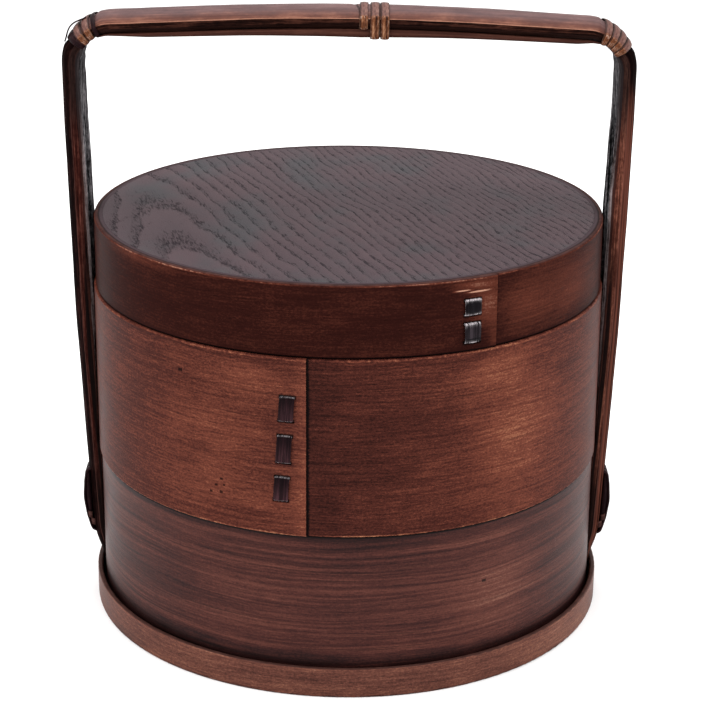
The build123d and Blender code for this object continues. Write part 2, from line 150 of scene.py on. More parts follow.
class Paint:
    """A Principled material, with short calls that add nodes and give back an output."""

    def __init__(self, name, ior):
        self.material = bpy.data.materials.new(name)
        self.material.use_nodes = True
        self.tree = self.material.node_tree
        self.shader = self.tree.nodes["Principled BSDF"]
        self.shader.inputs["IOR"].default_value = ior

    def put(self, socket, value):
        """Links an output to a socket, or sets the socket to a plain value."""
        if isinstance(value, Term):
            self.tree.links.new(value.socket, socket)
        else:
            socket.default_value = value

    def node(self, kind, *inputs, **settings):
        """Adds a node of this kind, and fills its first inputs."""
        made = self.tree.nodes.new("ShaderNode" + kind)
        for key, value in settings.items():
            setattr(made, key, value)
        for socket, value in zip(made.inputs, inputs):
            self.put(socket, value)
        return made

    def math(self, operation, *values):
        return Term(self, self.node("Math", *values, operation=operation).outputs[0])

    def split(self, point):
        """The coordinates, in millimetres, of an output that holds a point in metres."""
        scaled = self.node("VectorMath", point, (1 / MM, 1 / MM, 1 / MM), operation="MULTIPLY")
        parts = self.node("SeparateXYZ", Term(self, scaled.outputs[0]))
        return [Term(self, socket) for socket in parts.outputs]

    def place(self):
        """X, Y and Z in the frame."""
        return self.split(Term(self, self.node("TexCoord").outputs["Object"]))

    def strip(self):
        """Distances along and across a swept piece, from its own UV map."""
        return self.split(Term(self, self.node("UVMap", uv_map="along").outputs[0]))[:2]

    def facing_up(self):
        """1 on faces that look straight up, and 0 on upright ones."""
        normal = Term(self, self.node("NewGeometry").outputs["Normal"])
        return Term(self, self.node("SeparateXYZ", normal).outputs[2])

    def far(self, x, y):
        """Distance from the drum's axis."""
        return self.math("SQRT", x * x + y * y)

    def noise(self, at, detail, roughness=0.55):
        """Soft noise from about -0.5 to 0.5, at a place given by two or three coordinates."""
        place = Term(self, self.node("CombineXYZ", *at).outputs[0])
        made = self.node("TexNoise", place)
        made.inputs["Scale"].default_value = 1.0
        made.inputs["Detail"].default_value = detail
        made.inputs["Roughness"].default_value = roughness
        return Term(self, made.outputs[0]) - 0.5

    def between(self, value, low, high, out_low=0.0, out_high=1.0):
        """Eased step from out_low to out_high as the value goes from low to high."""
        ends = (low, high, out_low, out_high)
        made = self.node("MapRange", value, *ends, interpolation_type="SMOOTHSTEP")
        return Term(self, made.outputs[0])

    def hump(self, value, middle, half):
        """1 at the middle, and 0 further off than half."""
        return self.between(abs(value - middle), 0.0, half, 1.0, 0.0)

    def ramp(self, value, stops):
        """Colour by value, through stops that are each a position and a colour."""
        made = self.node("ValToRGB", value)
        elements = made.color_ramp.elements
        while len(elements) < len(stops):
            elements.new(1.0)
        for element, (position, colour) in zip(elements, stops):
            element.position = position
            element.color = (*colour, 1.0)
        return Term(self, made.outputs[0])

    def blend(self, amount, a, b):
        """Colour a where the amount is 0, and colour b where it is 1."""
        made = self.node("Mix", amount, data_type="RGBA")
        for socket, value in zip(made.inputs[6:8], (a, b)):
            self.put(socket, (*value, 1.0) if isinstance(value, tuple) else value)
        return Term(self, made.outputs[2])

    def finish(self, colour, roughness, height, depth):
        """Connects colour, roughness and a bump of this depth in millimetres."""
        self.put(self.shader.inputs["Base Color"], colour)
        self.put(self.shader.inputs["Roughness"], roughness)
        bump = self.node("Bump")
        bump.inputs["Strength"].default_value = 1.0
        bump.inputs["Distance"].default_value = depth * MM
        self.put(bump.inputs["Height"], height)
        self.put(self.shader.inputs["Normal"], Term(self, bump.outputs[0]))
        return self.material


# ---- Wood ----


def marked(paint, colour, degrees, z, radius, marks):
    """Adds small dark marks, each an angle, a height and half-sizes: some are real dots, and some are
    painted shade in the slits.
    """
    for angle, height, half_across, half_up in marks:
        aside = abs((degrees - angle) * math.radians(radius))
        inside_width = paint.between(aside, 0.8 * half_across, half_across, 1.0, 0.0)
        inside_height = paint.between(abs(z - height), 0.5 * half_up, half_up, 1.0, 0.0)
        colour = paint.blend(inside_width * inside_height * 0.85, colour, (0.002, 0.001, 0.001))
    return colour


def end_face(paint, colour, x, y, radius, tones):
    """Adds the upward end of a bent board: an outer part of two tones, a crack and an inner part."""
    outer_dark, outer_light, inner = tones
    mottle = paint.noise((x * 0.2, y * 0.2), 5.0, 0.7)
    face = paint.ramp(0.5 + mottle, [(0.2, outer_dark), (0.8, outer_light)])
    reach = paint.far(x, y) + mottle * 0.8
    face = paint.blend(paint.between(reach, radius - 2.4, radius - 1.9, 1.0, 0.0), face, inner)
    crack = paint.hump(reach, radius - 2.1, 0.7)
    face = paint.blend(crack * 0.75, face, (0.004, 0.002, 0.002))
    return paint.blend(paint.between(paint.facing_up(), 0.5, 0.95), colour, face)


def bentwood(name, ior, wall, tones, wear_and_painted_light, grains, shades, rims, seam_pool_and_shade, marks=(), top=None):
    """Lacquered bent board: its grain runs round the drum, from one side of the seam to the other.

    wall is the seam's angle, the outer radius, the foot and the top. tones is the ramp from pooled
    dark lacquer to worn wood. The patches of wear and painted light are worn patches, painted
    highlights and painted shade, each an angle, a height, half-sizes and a strength. grains are the
    strengths of the growth bands, the grain lines, the wiped clouds and the speckle. shades are
    painted shade at the foot and the top, each over a height. rims give a painted highlight along the
    lower and upper rims where positive, and painted shade where negative. The seam's strength is how
    dark lacquer pools beyond the lap, with the painted shade of the lap's step. marks go to marked(),
    and top goes to end_face().
    """
    seam, radius, low, high = wall
    paint = Paint(name, ior)
    x, y, z = paint.place()
    angle = paint.math("ARCTAN2", x, y * -1.0)
    turn = paint.math("WRAP", angle - math.radians(seam), 2 * math.pi, 0.0)
    run = turn * radius
    level = z + paint.noise((run * 0.009, z * 0.03), 2.0) * 7.0

    def layer(along, across, detail, roughness=0.6):
        return paint.noise((run * (1 / along), level * (1 / across)), detail, roughness)

    bands, lines, clouds, specks = grains
    wiped = paint.noise((run * 0.03, z * 0.06), 6.0, 0.68)
    speckle = paint.noise((run * 0.8, z * 1.1), 3.0, 0.85)
    growth = layer(200.0, 2.6, 3.0)
    grain = layer(30.0, 1.3, 3.0, 0.8)
    fibre = layer(5.0, 0.75, 3.0, 0.85)
    tone = 0.5 + wiped * clouds + speckle * specks + growth * bands + grain * lines + fibre * lines
    degrees = angle * (180 / math.pi)
    # Worn patches, painted highlights and patches of painted shade
    for glow_angle, glow_height, half_angle, half_height, strength in wear_and_painted_light:
        spot = paint.hump(degrees, glow_angle, half_angle) * paint.hump(z, glow_height, half_height)
        tone = tone + spot * strength
    # Painted shade at the foot and at the top
    (foot_height, foot_shade), (top_height, top_shade) = shades
    ragged = z + wiped * 6.0
    tone = tone + paint.between(ragged, low, low + foot_height, 1.0, 0.0) * foot_shade
    tone = tone + paint.between(ragged, high - top_height, high) * top_shade
    # The lap's end is rubbed bright, and beyond it lacquer pools dark in the corner, with the painted
    # shade of the lap's step
    seam_end = 2 * math.pi * radius
    rubbed = paint.between(run, seam_end - 7.0, seam_end, 0.0, 0.1)
    pool_and_step_shade = paint.between(run + speckle * 2.2 + wiped * 1.2, 0.5, 1.6, seam_pool_and_shade, 0.0)
    soft_pool_and_shade = paint.between(run, 1.6, 26.0, 0.28 * seam_pool_and_shade, 0.0)
    tone = tone + rubbed + pool_and_step_shade + soft_pool_and_shade
    # Painted highlights glint along some rims, and painted shade darkens others that lie in a joint
    patchy = paint.noise((run * 0.02, z * 0.1, 3.0), 2.0)
    glints = paint.noise((run * 0.4, z * 0.9), 4.0, 0.8)
    broken_highlight = paint.between(glints + patchy, -0.1, 0.3, 0.25, 1.5)
    for height, strength in ((low + 0.5, rims[0]), (high - 0.5, rims[1])):
        line = paint.hump(z, height, 0.75)
        if strength > 0:
            line = line * broken_highlight
        tone = tone + line * strength
    colour = paint.ramp(tone, tones)
    # Thin dark lines between the growth bands, and short dark pores in the grain
    darkest = tones[0][1]
    veins = paint.between(layer(120.0, 1.7, 2.0), 0.07, 0.24)
    veins = veins * paint.between(wiped, -0.3, 0.2, 0.3, 1.0)
    colour = paint.blend(veins * (0.35 + bands * 0.4), colour, darkest)
    pores = paint.between(paint.noise((run * 0.2, level * 2.4), 2.0, 0.6), 0.12, 0.22)
    colour = paint.blend(pores * 0.5, colour, darkest)
    colour = marked(paint, colour, degrees, z, radius, marks)
    if top:
        colour = end_face(paint, colour, x, y, radius, top)
    roughness = 0.42 + wiped * 0.2 + grain * 0.14 + pores * 0.1
    height = grain * 0.6 + fibre * 0.4 + pores * -0.5
    return paint.finish(colour, roughness, height, 0.1)


def lid_board(name):
    """Flat-sawn ring-porous board: cathedral arches near -X, and straight rings that close up to +X."""
    paint = Paint(name, 1.15)
    x, y, _ = paint.place()
    lean = math.radians(15.0)
    arch_place, pith_depth, taper = -88.0, 24.0, 0.1
    across = x * math.cos(lean) + y * math.sin(lean)
    along = x * math.sin(lean) - y * math.cos(lean)
    slow = paint.noise((across * 0.02, along * 0.012), 2.0)
    ripple = paint.noise((across * 0.08, along * 0.03), 2.0, 0.4)
    offset = across + slow * 11.0 - arch_place
    distance = paint.math("SQRT", offset * offset + pith_depth**2) - along * taper + ripple * 5.0
    rings = distance * (1 / 7.0) + paint.math("POWER", distance * (1 / 58.0), 2.0)
    phase = paint.math("FRACT", rings)
    early = paint.between(phase, 0.0, 0.5, 1.0, 0.0) + paint.between(phase, 0.85, 1.0)
    # Pores are short grooves along the fibres, crowded in each ring's early wood and patchily
    # filled. They follow the rings where those run straight, and cross them in the arches.
    straight = paint.between(offset, 25.0, 75.0)
    flow = across + straight * (distance - offset)
    grooves = paint.noise((flow * 0.95, along * 0.17), 4.0, 0.75)
    fine = paint.noise((flow * 2.4, along * 0.5), 3.0, 0.7)
    patches = paint.noise((x * 0.045, y * 0.045), 3.0, 0.6)
    pores = paint.between(grooves + early * 0.15 + patches * 0.24, 0.07, 0.28)
    dark = paint.math("MAXIMUM", pores, paint.between(fine, 0.08, 0.24) * 0.45)
    figure = paint.between(phase, 0.1, 0.95)
    cloud = paint.noise((x * 0.013, y * 0.013), 4.0, 0.6)
    haze = paint.noise((x * 0.03, y * 0.02, 4.0), 3.0)
    tone = 0.44 + figure * 0.12 + cloud * 0.42 + fine * 0.3 + grooves * 0.16
    # The mauve and grey-green tones hold the board's dark brown with a painted reflection of the pale
    # studio in it
    mauve = paint.ramp(
        tone, [(0.1, (0.020, 0.014, 0.017)), (0.5, (0.047, 0.0285, 0.033)), (0.9, (0.088, 0.054, 0.057))]
    )
    green = paint.ramp(
        tone, [(0.1, (0.015, 0.0155, 0.018)), (0.5, (0.036, 0.0325, 0.036)), (0.9, (0.072, 0.058, 0.061))]
    )
    colour = paint.blend(paint.between(haze, -0.05, 0.22), mauve, green)
    colour = paint.blend(dark * 0.7, colour, (0.006, 0.0055, 0.0075))
    # Painted shade in the joint round the board's edge
    joint_shade = paint.between(paint.far(x, y), LID_BOARD - 0.6, LID_BOARD - 0.1)
    colour = paint.blend(joint_shade * 0.3, colour, (0.003, 0.002, 0.002))
    roughness = 0.45 + cloud * 0.1 + dark * 0.3
    return paint.finish(colour, roughness, dark * -1.0 + fine * 0.35 + figure * 0.2, 0.2)


def inner_wood(name):
    """Plain boards and hoops inside, wiped with thin lacquer."""
    paint = Paint(name, 1.15)
    x, y, z = paint.place()
    reach = paint.far(x, y)
    angle = paint.math("ARCTAN2", x, y)
    on_hoop = paint.between(reach, 111.5, 112.2)
    hoop_grain = paint.noise((angle * 2.2, z * 0.7, reach * 0.3), 4.0, 0.65)
    board_grain = paint.noise((x * 0.5, y * 0.02, z * 0.2), 4.0, 0.65)
    grain = hoop_grain * on_hoop + board_grain * (1.0 - on_hoop)
    cloud = paint.noise((x * 0.02, y * 0.02, z * 0.03), 3.0)
    colour = paint.ramp(
        0.5 + grain * 0.7 + cloud * 0.4,
        [(0.1, (0.03, 0.012, 0.009)), (0.5, (0.10, 0.038, 0.024)), (0.9, (0.2, 0.085, 0.05))],
    )
    return paint.finish(colour, 0.5 + grain * 0.2, grain, 0.08)


# ---- Bamboo, rattan and bark ----


class Strand(Paint):
    """Material of a strip cut along its fibres, with the noises that its colours are made from."""

    def __init__(self, name, ior, fibre_size):
        super().__init__(name, ior)
        along, self.across = self.strip()
        self.x, self.y, self.z = self.place()
        self.side = abs(self.y)
        self.fibres = self.noise((along * 0.04, self.across * (1 / fibre_size)), 4.0, 0.7)
        self.streaks = self.noise((along * 0.014, self.across * (0.4 / fibre_size)), 3.0, 0.65)
        self.cloud = self.noise((along * 0.06, self.across * 0.14), 5.0, 0.65)
        self.scuffs = self.noise((along * 0.4, self.across * 0.9), 4.0, 0.75)

    def tone(self, fibres, streaks, cloud, scuffs):
        """The noises mixed in these strengths, about 0.5."""
        mixed = 0.5 + self.fibres * fibres + self.streaks * streaks
        return mixed + self.cloud * cloud + self.scuffs * scuffs

    def done(self, colour, roughness, depth):
        """Finishes with fibres that stand out by this depth."""
        rough = roughness + self.fibres * 0.2 + self.cloud * 0.15
        return self.finish(colour, rough, self.fibres + self.scuffs * 0.35, depth)

    def on_bar(self):
        """1 on the crossbar and 0 on the legs."""
        return self.between(self.z, BAR_LEVEL, BAR_LEVEL + 9.0)

    def on_right(self):
        """1 on the right leg and 0 on the left one."""
        return self.between(self.x, 0.0, 1.0)


def bar_skin(name):
    """Skin of the crossbar: warm brown at the sides, mauve on top as a painted reflection, a painted
    highlight at the arris and crest, and painted shade in the node's cleft.
    """
    paint = Strand(name, 1.12, 0.7)
    tone = paint.tone(0.3, 0.55, 0.7, 0.25)
    # The mauve on top is a painted reflection of the pale sky, and the sides are warm brown
    mauve = paint.ramp(
        tone, [(0.2, (0.045, 0.028, 0.029)), (0.5, (0.098, 0.055, 0.054)), (0.8, (0.17, 0.10, 0.095))]
    )
    warm = paint.ramp(
        tone, [(0.2, (0.034, 0.010, 0.007)), (0.5, (0.100, 0.037, 0.026)), (0.8, (0.24, 0.105, 0.07))]
    )
    colour = paint.blend(paint.between(paint.side + paint.cloud * 5.0, 5.0, 11.0), mauve, warm)
    # Painted highlight along the arris
    arris = paint.between(paint.side + paint.scuffs * 0.6, 10.7, 11.4)
    colour = paint.blend(arris * 0.8, colour, (0.36, 0.17, 0.11))
    # Painted highlight along the crest, where the skin turns away
    crest_highlight = paint.hump(paint.y + paint.scuffs * 3.0, 2.2, 1.3)
    crest_highlight = crest_highlight * paint.between(paint.cloud, -0.2, 0.2, 0.1, 0.6)
    colour = paint.blend(crest_highlight, colour, (0.24, 0.19, 0.18))
    # Painted shade in the node's cleft
    cleft = paint.hump(paint.x + paint.y * 0.25 + paint.scuffs * 1.5, 3.0, 1.0)
    colour = paint.blend(cleft * 0.8, colour, (0.006, 0.003, 0.003))
    return paint.done(colour, 0.4, 0.08)


def leg_skin(name):
    """Skin of the legs: near black, redder at the sides of the right leg, with a worn arris."""
    paint = Strand(name, 1.02, 0.7)
    black = paint.ramp(
        paint.tone(0.5, 0.7, 0.7, 0.4),
        [(0.2, (0.001, 0.001, 0.001)), (0.5, (0.004, 0.0014, 0.0014)), (0.8, (0.035, 0.012, 0.010))],
    )
    aside = paint.side + paint.scuffs * 0.8
    below_bend = paint.between(paint.z + paint.cloud * 40.0, 238.0, 260.0, 1.0, 0.0)
    flank = paint.between(aside, 4.0, 5.5) * paint.on_right() * below_bend
    streaky = paint.between(paint.streaks, -0.2, 0.15)
    colour = paint.blend(flank * streaky, black, (0.095, 0.030, 0.020))
    arris = paint.between(aside, 10.6, 11.3) * paint.between(paint.z, 225.0, 255.0, 0.5, 0.15)
    return paint.done(paint.blend(arris, colour, (0.10, 0.040, 0.032)), 0.5, 0.08)


def bamboo_side(name):
    """Cut side: dark red-brown streaks, oranger on the right leg and sooty near the bends."""
    paint = Strand(name, 1.06, 0.6)
    tone = paint.tone(0.7, 0.9, 0.6, 0.4)
    bar = paint.ramp(
        tone, [(0.3, (0.002, 0.001, 0.001)), (0.5, (0.012, 0.0040, 0.003)), (0.8, (0.08, 0.028, 0.018))]
    )
    left = paint.ramp(
        tone, [(0.3, (0.003, 0.001, 0.001)), (0.5, (0.026, 0.0055, 0.004)), (0.75, (0.11, 0.036, 0.026))]
    )
    right = paint.ramp(
        tone, [(0.25, (0.006, 0.0015, 0.001)), (0.5, (0.060, 0.018, 0.012)), (0.75, (0.26, 0.095, 0.06))]
    )
    leg = paint.blend(paint.on_right(), left, right)
    # Painted shade: beside the drum the inner part is black, and so is the foot
    crown = LEG_LINE[1][0]
    for (near, low), (far, high) in zip(LEG_LINE[1:], LEG_LINE[2:]):
        crown = crown + paint.between(paint.z, low, high, 0.0, far - near)
    inner_part = paint.between(crown - abs(paint.x) + paint.cloud * 1.5, 5.9, 6.7)
    inner_part = inner_part * paint.between(paint.z, 150.0, 190.0, 1.0, 0.0)
    shade = paint.math("MAXIMUM", inner_part, paint.between(paint.z, 45.0, 80.0, 1.0, 0.0))
    leg = paint.blend(shade * 0.92, leg, (0.003, 0.002, 0.002))
    sooty = paint.between(paint.z + paint.cloud * 40.0, 222.0, 250.0, 0.0, 0.85)
    soot = paint.ramp(tone, [(0.3, (0.002, 0.001, 0.001)), (0.75, (0.018, 0.011, 0.010))])
    leg = paint.blend(sooty, leg, soot)
    return paint.done(paint.blend(paint.on_bar(), leg, bar), 0.45, 0.1)


def bamboo_edge(name):
    """Chamfer along the inner edge: pale grey on the legs, and black on the crossbar, where the black is
    painted shade.
    """
    paint = Strand(name, 1.1, 0.5)
    tone = paint.tone(0.9, 0.9, 0.6, 0.5)
    pale = paint.ramp(
        tone, [(0.3, (0.010, 0.007, 0.007)), (0.5, (0.135, 0.105, 0.104)), (0.75, (0.34, 0.28, 0.28))]
    )
    # On the crossbar the chamfer is painted black as shade
    dark = paint.ramp(tone, [(0.1, (0.002, 0.001, 0.001)), (0.9, (0.02, 0.007, 0.005))])
    brown = paint.ramp(tone, [(0.3, (0.004, 0.0015, 0.0015)), (0.7, (0.05, 0.018, 0.014))])
    outer_part = paint.between(paint.side + paint.cloud * 1.2, 10.7, 11.1, 1.0, 0.0)
    leg = paint.blend(outer_part, brown, pale)
    dulled = paint.blend(paint.between(paint.z, 215.0, 250.0, 0.0, 0.85), leg, (0.012, 0.010, 0.011))
    return paint.done(paint.blend(paint.on_bar(), dulled, dark), 0.5, 0.15)


def bamboo_hollow(name):
    """Hollow inner face: black along the middle, a dark stain with painted shade in it, and streaked grey
    beside it and near the bends.
    """
    paint = Strand(name, 1.05, 0.8)
    tone = paint.tone(1.3, 0.9, 0.5, 0.7)
    # The black middle is a dark stain with the hollow's painted shade
    black = paint.ramp(tone, [(0.1, (0.001, 0.001, 0.001)), (0.9, (0.012, 0.009, 0.009))])
    grey = paint.ramp(
        tone, [(0.35, (0.003, 0.003, 0.003)), (0.5, (0.085, 0.080, 0.085)), (0.72, (0.33, 0.31, 0.32))]
    )
    shaved = paint.between(paint.z, 228.0, 262.0, 0.0, 3.2)
    grey_part = paint.between(paint.side + shaved + paint.cloud * 2.0, 5.2, 6.6)
    dulled = paint.blend(paint.between(paint.z, 225.0, 255.0, 0.0, 0.3), grey, (0.015, 0.014, 0.016))
    grooves = paint.between(paint.streaks, 0.06, 0.14, 0.0, 0.9)
    leg = paint.blend(grooves, paint.blend(grey_part, black, dulled), (0.002, 0.002, 0.002))
    return paint.done(paint.blend(paint.on_bar(), leg, black), 0.6, 0.35)


def bamboo_strip(name):
    """Flat red-brown strip under the crossbar."""
    paint = Strand(name, 1.12, 0.5)
    colour = paint.ramp(
        paint.tone(0.5, 0.8, 0.4, 0.3),
        [(0.1, (0.008, 0.003, 0.0025)), (0.5, (0.045, 0.0150, 0.0105)), (0.9, (0.13, 0.052, 0.035))],
    )
    return paint.done(colour, 0.42, 0.08)


def rattan(name):
    """Split cane: bare tan on the sides, and mauve on top, which is a painted reflection of the pale sky.
    """
    paint = Strand(name, 1.14, 0.75)
    tone = paint.tone(0.9, 0.7, 0.5, 0.7)
    mauve = paint.ramp(
        tone, [(0.25, (0.020, 0.010, 0.010)), (0.5, (0.118, 0.054, 0.044)), (0.8, (0.30, 0.17, 0.14))]
    )
    tan = paint.ramp(
        tone, [(0.25, (0.008, 0.002, 0.002)), (0.5, (0.140, 0.046, 0.019)), (0.8, (0.50, 0.26, 0.14))]
    )
    # Painted reflection: mauve on top, tan on the sides
    colour = paint.blend(paint.between(paint.side + paint.cloud * 2.0, 10.4, 11.6), mauve, tan)
    # Painted highlights, like beads, where the cane turns over the arris
    arris_highlights = paint.hump(paint.side, 11.9, 0.7) * paint.between(paint.scuffs, 0.0, 0.15)
    colour = paint.blend(arris_highlights * 0.7, colour, (0.55, 0.42, 0.36))
    # The strand's two edges are dark with painted shade where turns meet, and painted glints light its
    # face
    across = paint.across + paint.scuffs * 0.4
    near_edge = paint.between(across, 0.1, 0.8, 1.0, 0.0)
    edge_shade = paint.math("MAXIMUM", near_edge, paint.between(across, 3.3, 4.0))
    colour = paint.blend(edge_shade * 0.7, colour, (0.012, 0.005, 0.004))
    glints = paint.between(paint.scuffs, 0.14, 0.24) * paint.between(paint.side, 6.0, 11.0, 0.3, 1.0)
    colour = paint.blend(glints * 0.55, colour, (0.55, 0.42, 0.38))
    return paint.done(colour, 0.36, 0.22)


def dark_rattan(name, tones):
    """Cane stained dark, in three tones."""
    paint = Strand(name, 1.1, 0.6)
    colour = paint.ramp(paint.tone(0.6, 0.7, 0.5, 0.4), list(zip((0.1, 0.5, 0.9), tones)))
    return paint.done(colour, 0.36, 0.1)


def bark(name, wall, tones, gleam, bow):
    """Polished cherry bark, with a painted highlight where it bends in at its slits.

    wall is the radius of the wall outside, under the ribbon. tones are the ribbon's colours low and
    high in a run, and gleam is how bright the painted highlight on the bends is, up to where the
    ribbon bows out this far.
    """
    run_foot, run_pitch = 91.0, 18.9
    paint = Strand(name, 1.1, 1.0)
    reach = paint.far(paint.x, paint.y)
    run = paint.math("FRACT", (paint.z - run_foot) * (1 / run_pitch))
    body = paint.blend(paint.between(run, 0.15, 0.75), tones[0], tones[1])
    streaks = paint.between(paint.fibres + paint.streaks, -0.15, 0.3)
    body = paint.blend(streaks, paint.blend(0.85, body, (0.002, 0.001, 0.0015)), body)
    # Painted highlight on the bends, broken up by the fibres
    bend = paint.between(reach + paint.scuffs * 0.3, wall + bow / 2, wall + bow, 1.0, 0.0)
    shine = bend * paint.between(paint.fibres + paint.scuffs, -0.15, 0.12)
    return paint.done(paint.blend(shine * gleam, body, (0.62, 0.56, 0.58)), 0.3, 0.08)


# ---- Swept pieces ----


def filleted(points, radii, step):
    """Samples a line through points of a plane, with a fillet of each radius at each inner point.

    Gives each sample as its point, its direction and its distance along the line.
    """
    corners = [Vector(point) for point in points]
    samples = []
    length = 0.0
    start = corners[0]
    for index, radius in enumerate([*radii, 0.0], 1):
        corner = corners[index]
        way_in = (corner - corners[index - 1]).normalized()
        turn = 0.0
        if index < len(corners) - 1:
            way_out = (corners[index + 1] - corner).normalized()
            turn = math.atan2(way_in.cross(way_out), way_in.dot(way_out))
        bend_start = corner - way_in * radius * math.tan(abs(turn) / 2)
        span = (bend_start - start).length
        count = max(1, round(span / step))
        for place in range(count):
            done = span * place / count
            samples.append((start + way_in * done, way_in, length + done))
        length += span
        if turn:
            spoke = Vector((-way_in.y, way_in.x)) * math.copysign(radius, turn)
            centre = bend_start + spoke
            arc = abs(turn) * radius
            count = max(1, math.ceil(arc / step))
            for place in range(count):
                spin = Matrix.Rotation(turn * place / count, 2)
                samples.append((centre - spin @ spoke, spin @ way_in, length + arc * place / count))
            length += arc
            start = centre - Matrix.Rotation(turn, 2) @ spoke
        else:
            start = corner
            samples.append((corner, way_in, length))
    return samples


def swept(name, rings, along, across, materials, pick=None, loop=False):
    """Mesh through closed rings of points, with distances along and across as its UV map.

    across has one more distance than a ring has points, and in a loop along has one more than there
    are rings. pick gives the material of the face between ring i and the next, at point j.
    """
    count = len(rings[0])
    faces = []
    coordinates = []
    slots = []
    last = len(rings) if loop else len(rings) - 1
    for i in range(last):
        here, following = i * count, (i + 1) % len(rings) * count
        for j in range(count):
            beside = (j + 1) % count
            faces.append((here + j, here + beside, following + beside, following + j))
            near, far = across[j], across[j + 1]
            behind, ahead = along[i], along[i + 1]
            coordinates.append(((behind, near), (behind, far), (ahead, far), (ahead, near)))
            slots.append(pick(i, j) if pick else 0)
    if not loop:
        for ring, order in ((0, range(count)[::-1]), (last, range(count))):
            faces.append(tuple(ring * count + j for j in order))
            coordinates.append(tuple((along[ring], across[j]) for j in order))
            slots.append(pick(min(ring, last - 1), 0) if pick else 0)
    mesh = bpy.data.meshes.new(name)
    mesh.from_pydata([[place * MM for place in point] for ring in rings for point in ring], [], faces)
    layer = mesh.uv_layers.new(name="along")
    layer.data.foreach_set("uv", [place * MM for face in coordinates for pair in face for place in pair])
    for material in materials:
        mesh.materials.append(material)
    mesh.polygons.foreach_set("material_index", slots)
    mesh.polygons.foreach_set("use_smooth", [True] * len(faces))
    mesh.update()
    piece = bpy.data.objects.new(name, mesh)
    bpy.context.scene.collection.objects.link(piece)
    return piece


def girth(outline):
    """Distance round a closed outline at each point, and once round at the end."""
    total = [0.0]
    for point, following in zip(outline, [*outline[1:], outline[0]]):
        total.append(total[-1] + (Vector(following) - Vector(point)).length)
    return total


def distances(line):
    """Distance along the line at each of its samples."""
    return [length for _, _, length in line]


def joined(name, parts):
    """Several meshes as one piece."""
    with bpy.context.temp_override(active_object=parts[0], selected_editable_objects=parts):
        bpy.ops.object.join()
    parts[0].name = name
    parts[0].data.name = name
    return parts[0]


# ---- Handle ----


def crown_line(step):
    """The bow's crown from the left foot over the top to the right foot, as samples in X and Z."""
    right = [*reversed(LEG_LINE), (FOOT_CROWN, FOOT_TIP)]
    left = [(-x, z) for x, z in reversed(right)]
    corners = [(-LEG_CROWN, LEFT_CORNER), PEAK, (LEG_CROWN, RIGHT_CORNER)]
    bends = [*LEG_BENDS, CORNER_RADIUS, PEAK_RADIUS, CORNER_RADIUS, *reversed(LEG_BENDS)]
    return filleted([*left, *corners, *right], bends, step)


def inward(way):
    """Direction from the bow's crown to its hollow, where the line runs this way."""
    return Vector((way.y, -way.x))


def steepness(way):
    """Angle between the line and the level, in degrees."""
    return math.degrees(math.atan2(abs(way.y), abs(way.x)))


def eased(value, low, high):
    """Eased step from 0 to 1 as the value goes from low to high."""
    share = max(0.0, min(1.0, (value - low) / (high - low)))
    return share * share * (3 - 2 * share)


def bow_section(half, groove):
    """Outline of the split bamboo as depth, side place and surface, for this half width and groove."""
    inner = half - (HALF_WIDTH - INNER_HALF_WIDTH)
    points = []
    for place in range(25):
        y = half * (place / 12 - 1) * 0.985
        points.append((SKIN_RADIUS - math.sqrt(SKIN_RADIUS**2 - y * y), y, SKIN))
    arris = SKIN_RADIUS - math.sqrt(SKIN_RADIUS**2 - half * half)
    flank = [(arris + 0.12, half - 0.04, SIDE), (arris + 0.5, half, SIDE), (arris + 1.5, half, SIDE)]
    flank += [(EDGE_DEPTH - 0.25, half, SIDE), (EDGE_DEPTH + 0.12, half - 0.16, EDGE)]
    flank += [(BOW_DEPTH - 0.35, inner + 0.4, EDGE), (BOW_DEPTH, inner - 0.1, HOLLOW)]
    points += flank
    for place in range(1, 20):
        y = inner * (1 - place / 10)
        points.append((BOW_DEPTH - groove * (1 - (y / inner) ** 2), y, HOLLOW))
    # Each zone is the surface from its point to the next, so the far side is one place along
    zones = [HOLLOW, EDGE, EDGE, SIDE, SIDE, SIDE, SIDE]
    points += [(depth, -y, zone) for (depth, y, _), zone in zip(reversed(flank), zones)]
    return points


def clear_of_drum(x, y, z):
    """X of a leg's point, moved out of the drum, and at the foot in under the base hoop."""
    reach = math.hypot(x, y)
    if z < BASE_HOOP_TOP + 0.1 and reach > REBATE:
        return math.copysign(math.sqrt(REBATE**2 - y * y), x)
    limit = BESIDE_LOWER if z < TIER_JOINT - 1 else BESIDE_UPPER
    if z < LID_TOP and reach < limit:
        return math.copysign(math.sqrt(limit**2 - y * y), x)
    return x


def unevenness(length, depth, y, zone, shaved):
    """How much deeper a point of the bow lies than its plain section."""
    broad = Vector((length * 0.025, y * 0.35, depth * 0.35 + 40))
    fine = Vector((length * 0.12, y * 1.1, depth))
    bumps = 0.26 + 0.26 * noise.noise(broad) + 0.08 * noise.noise(fine)
    if zone > SIDE:
        bumps += 0.5 * shaved * noise.noise(Vector((length * 0.2, y * 0.5, 9.0)))
        bumps += 0.25 * noise.noise(Vector((length * 0.05, y * 0.9, 20.0)))
    return bumps


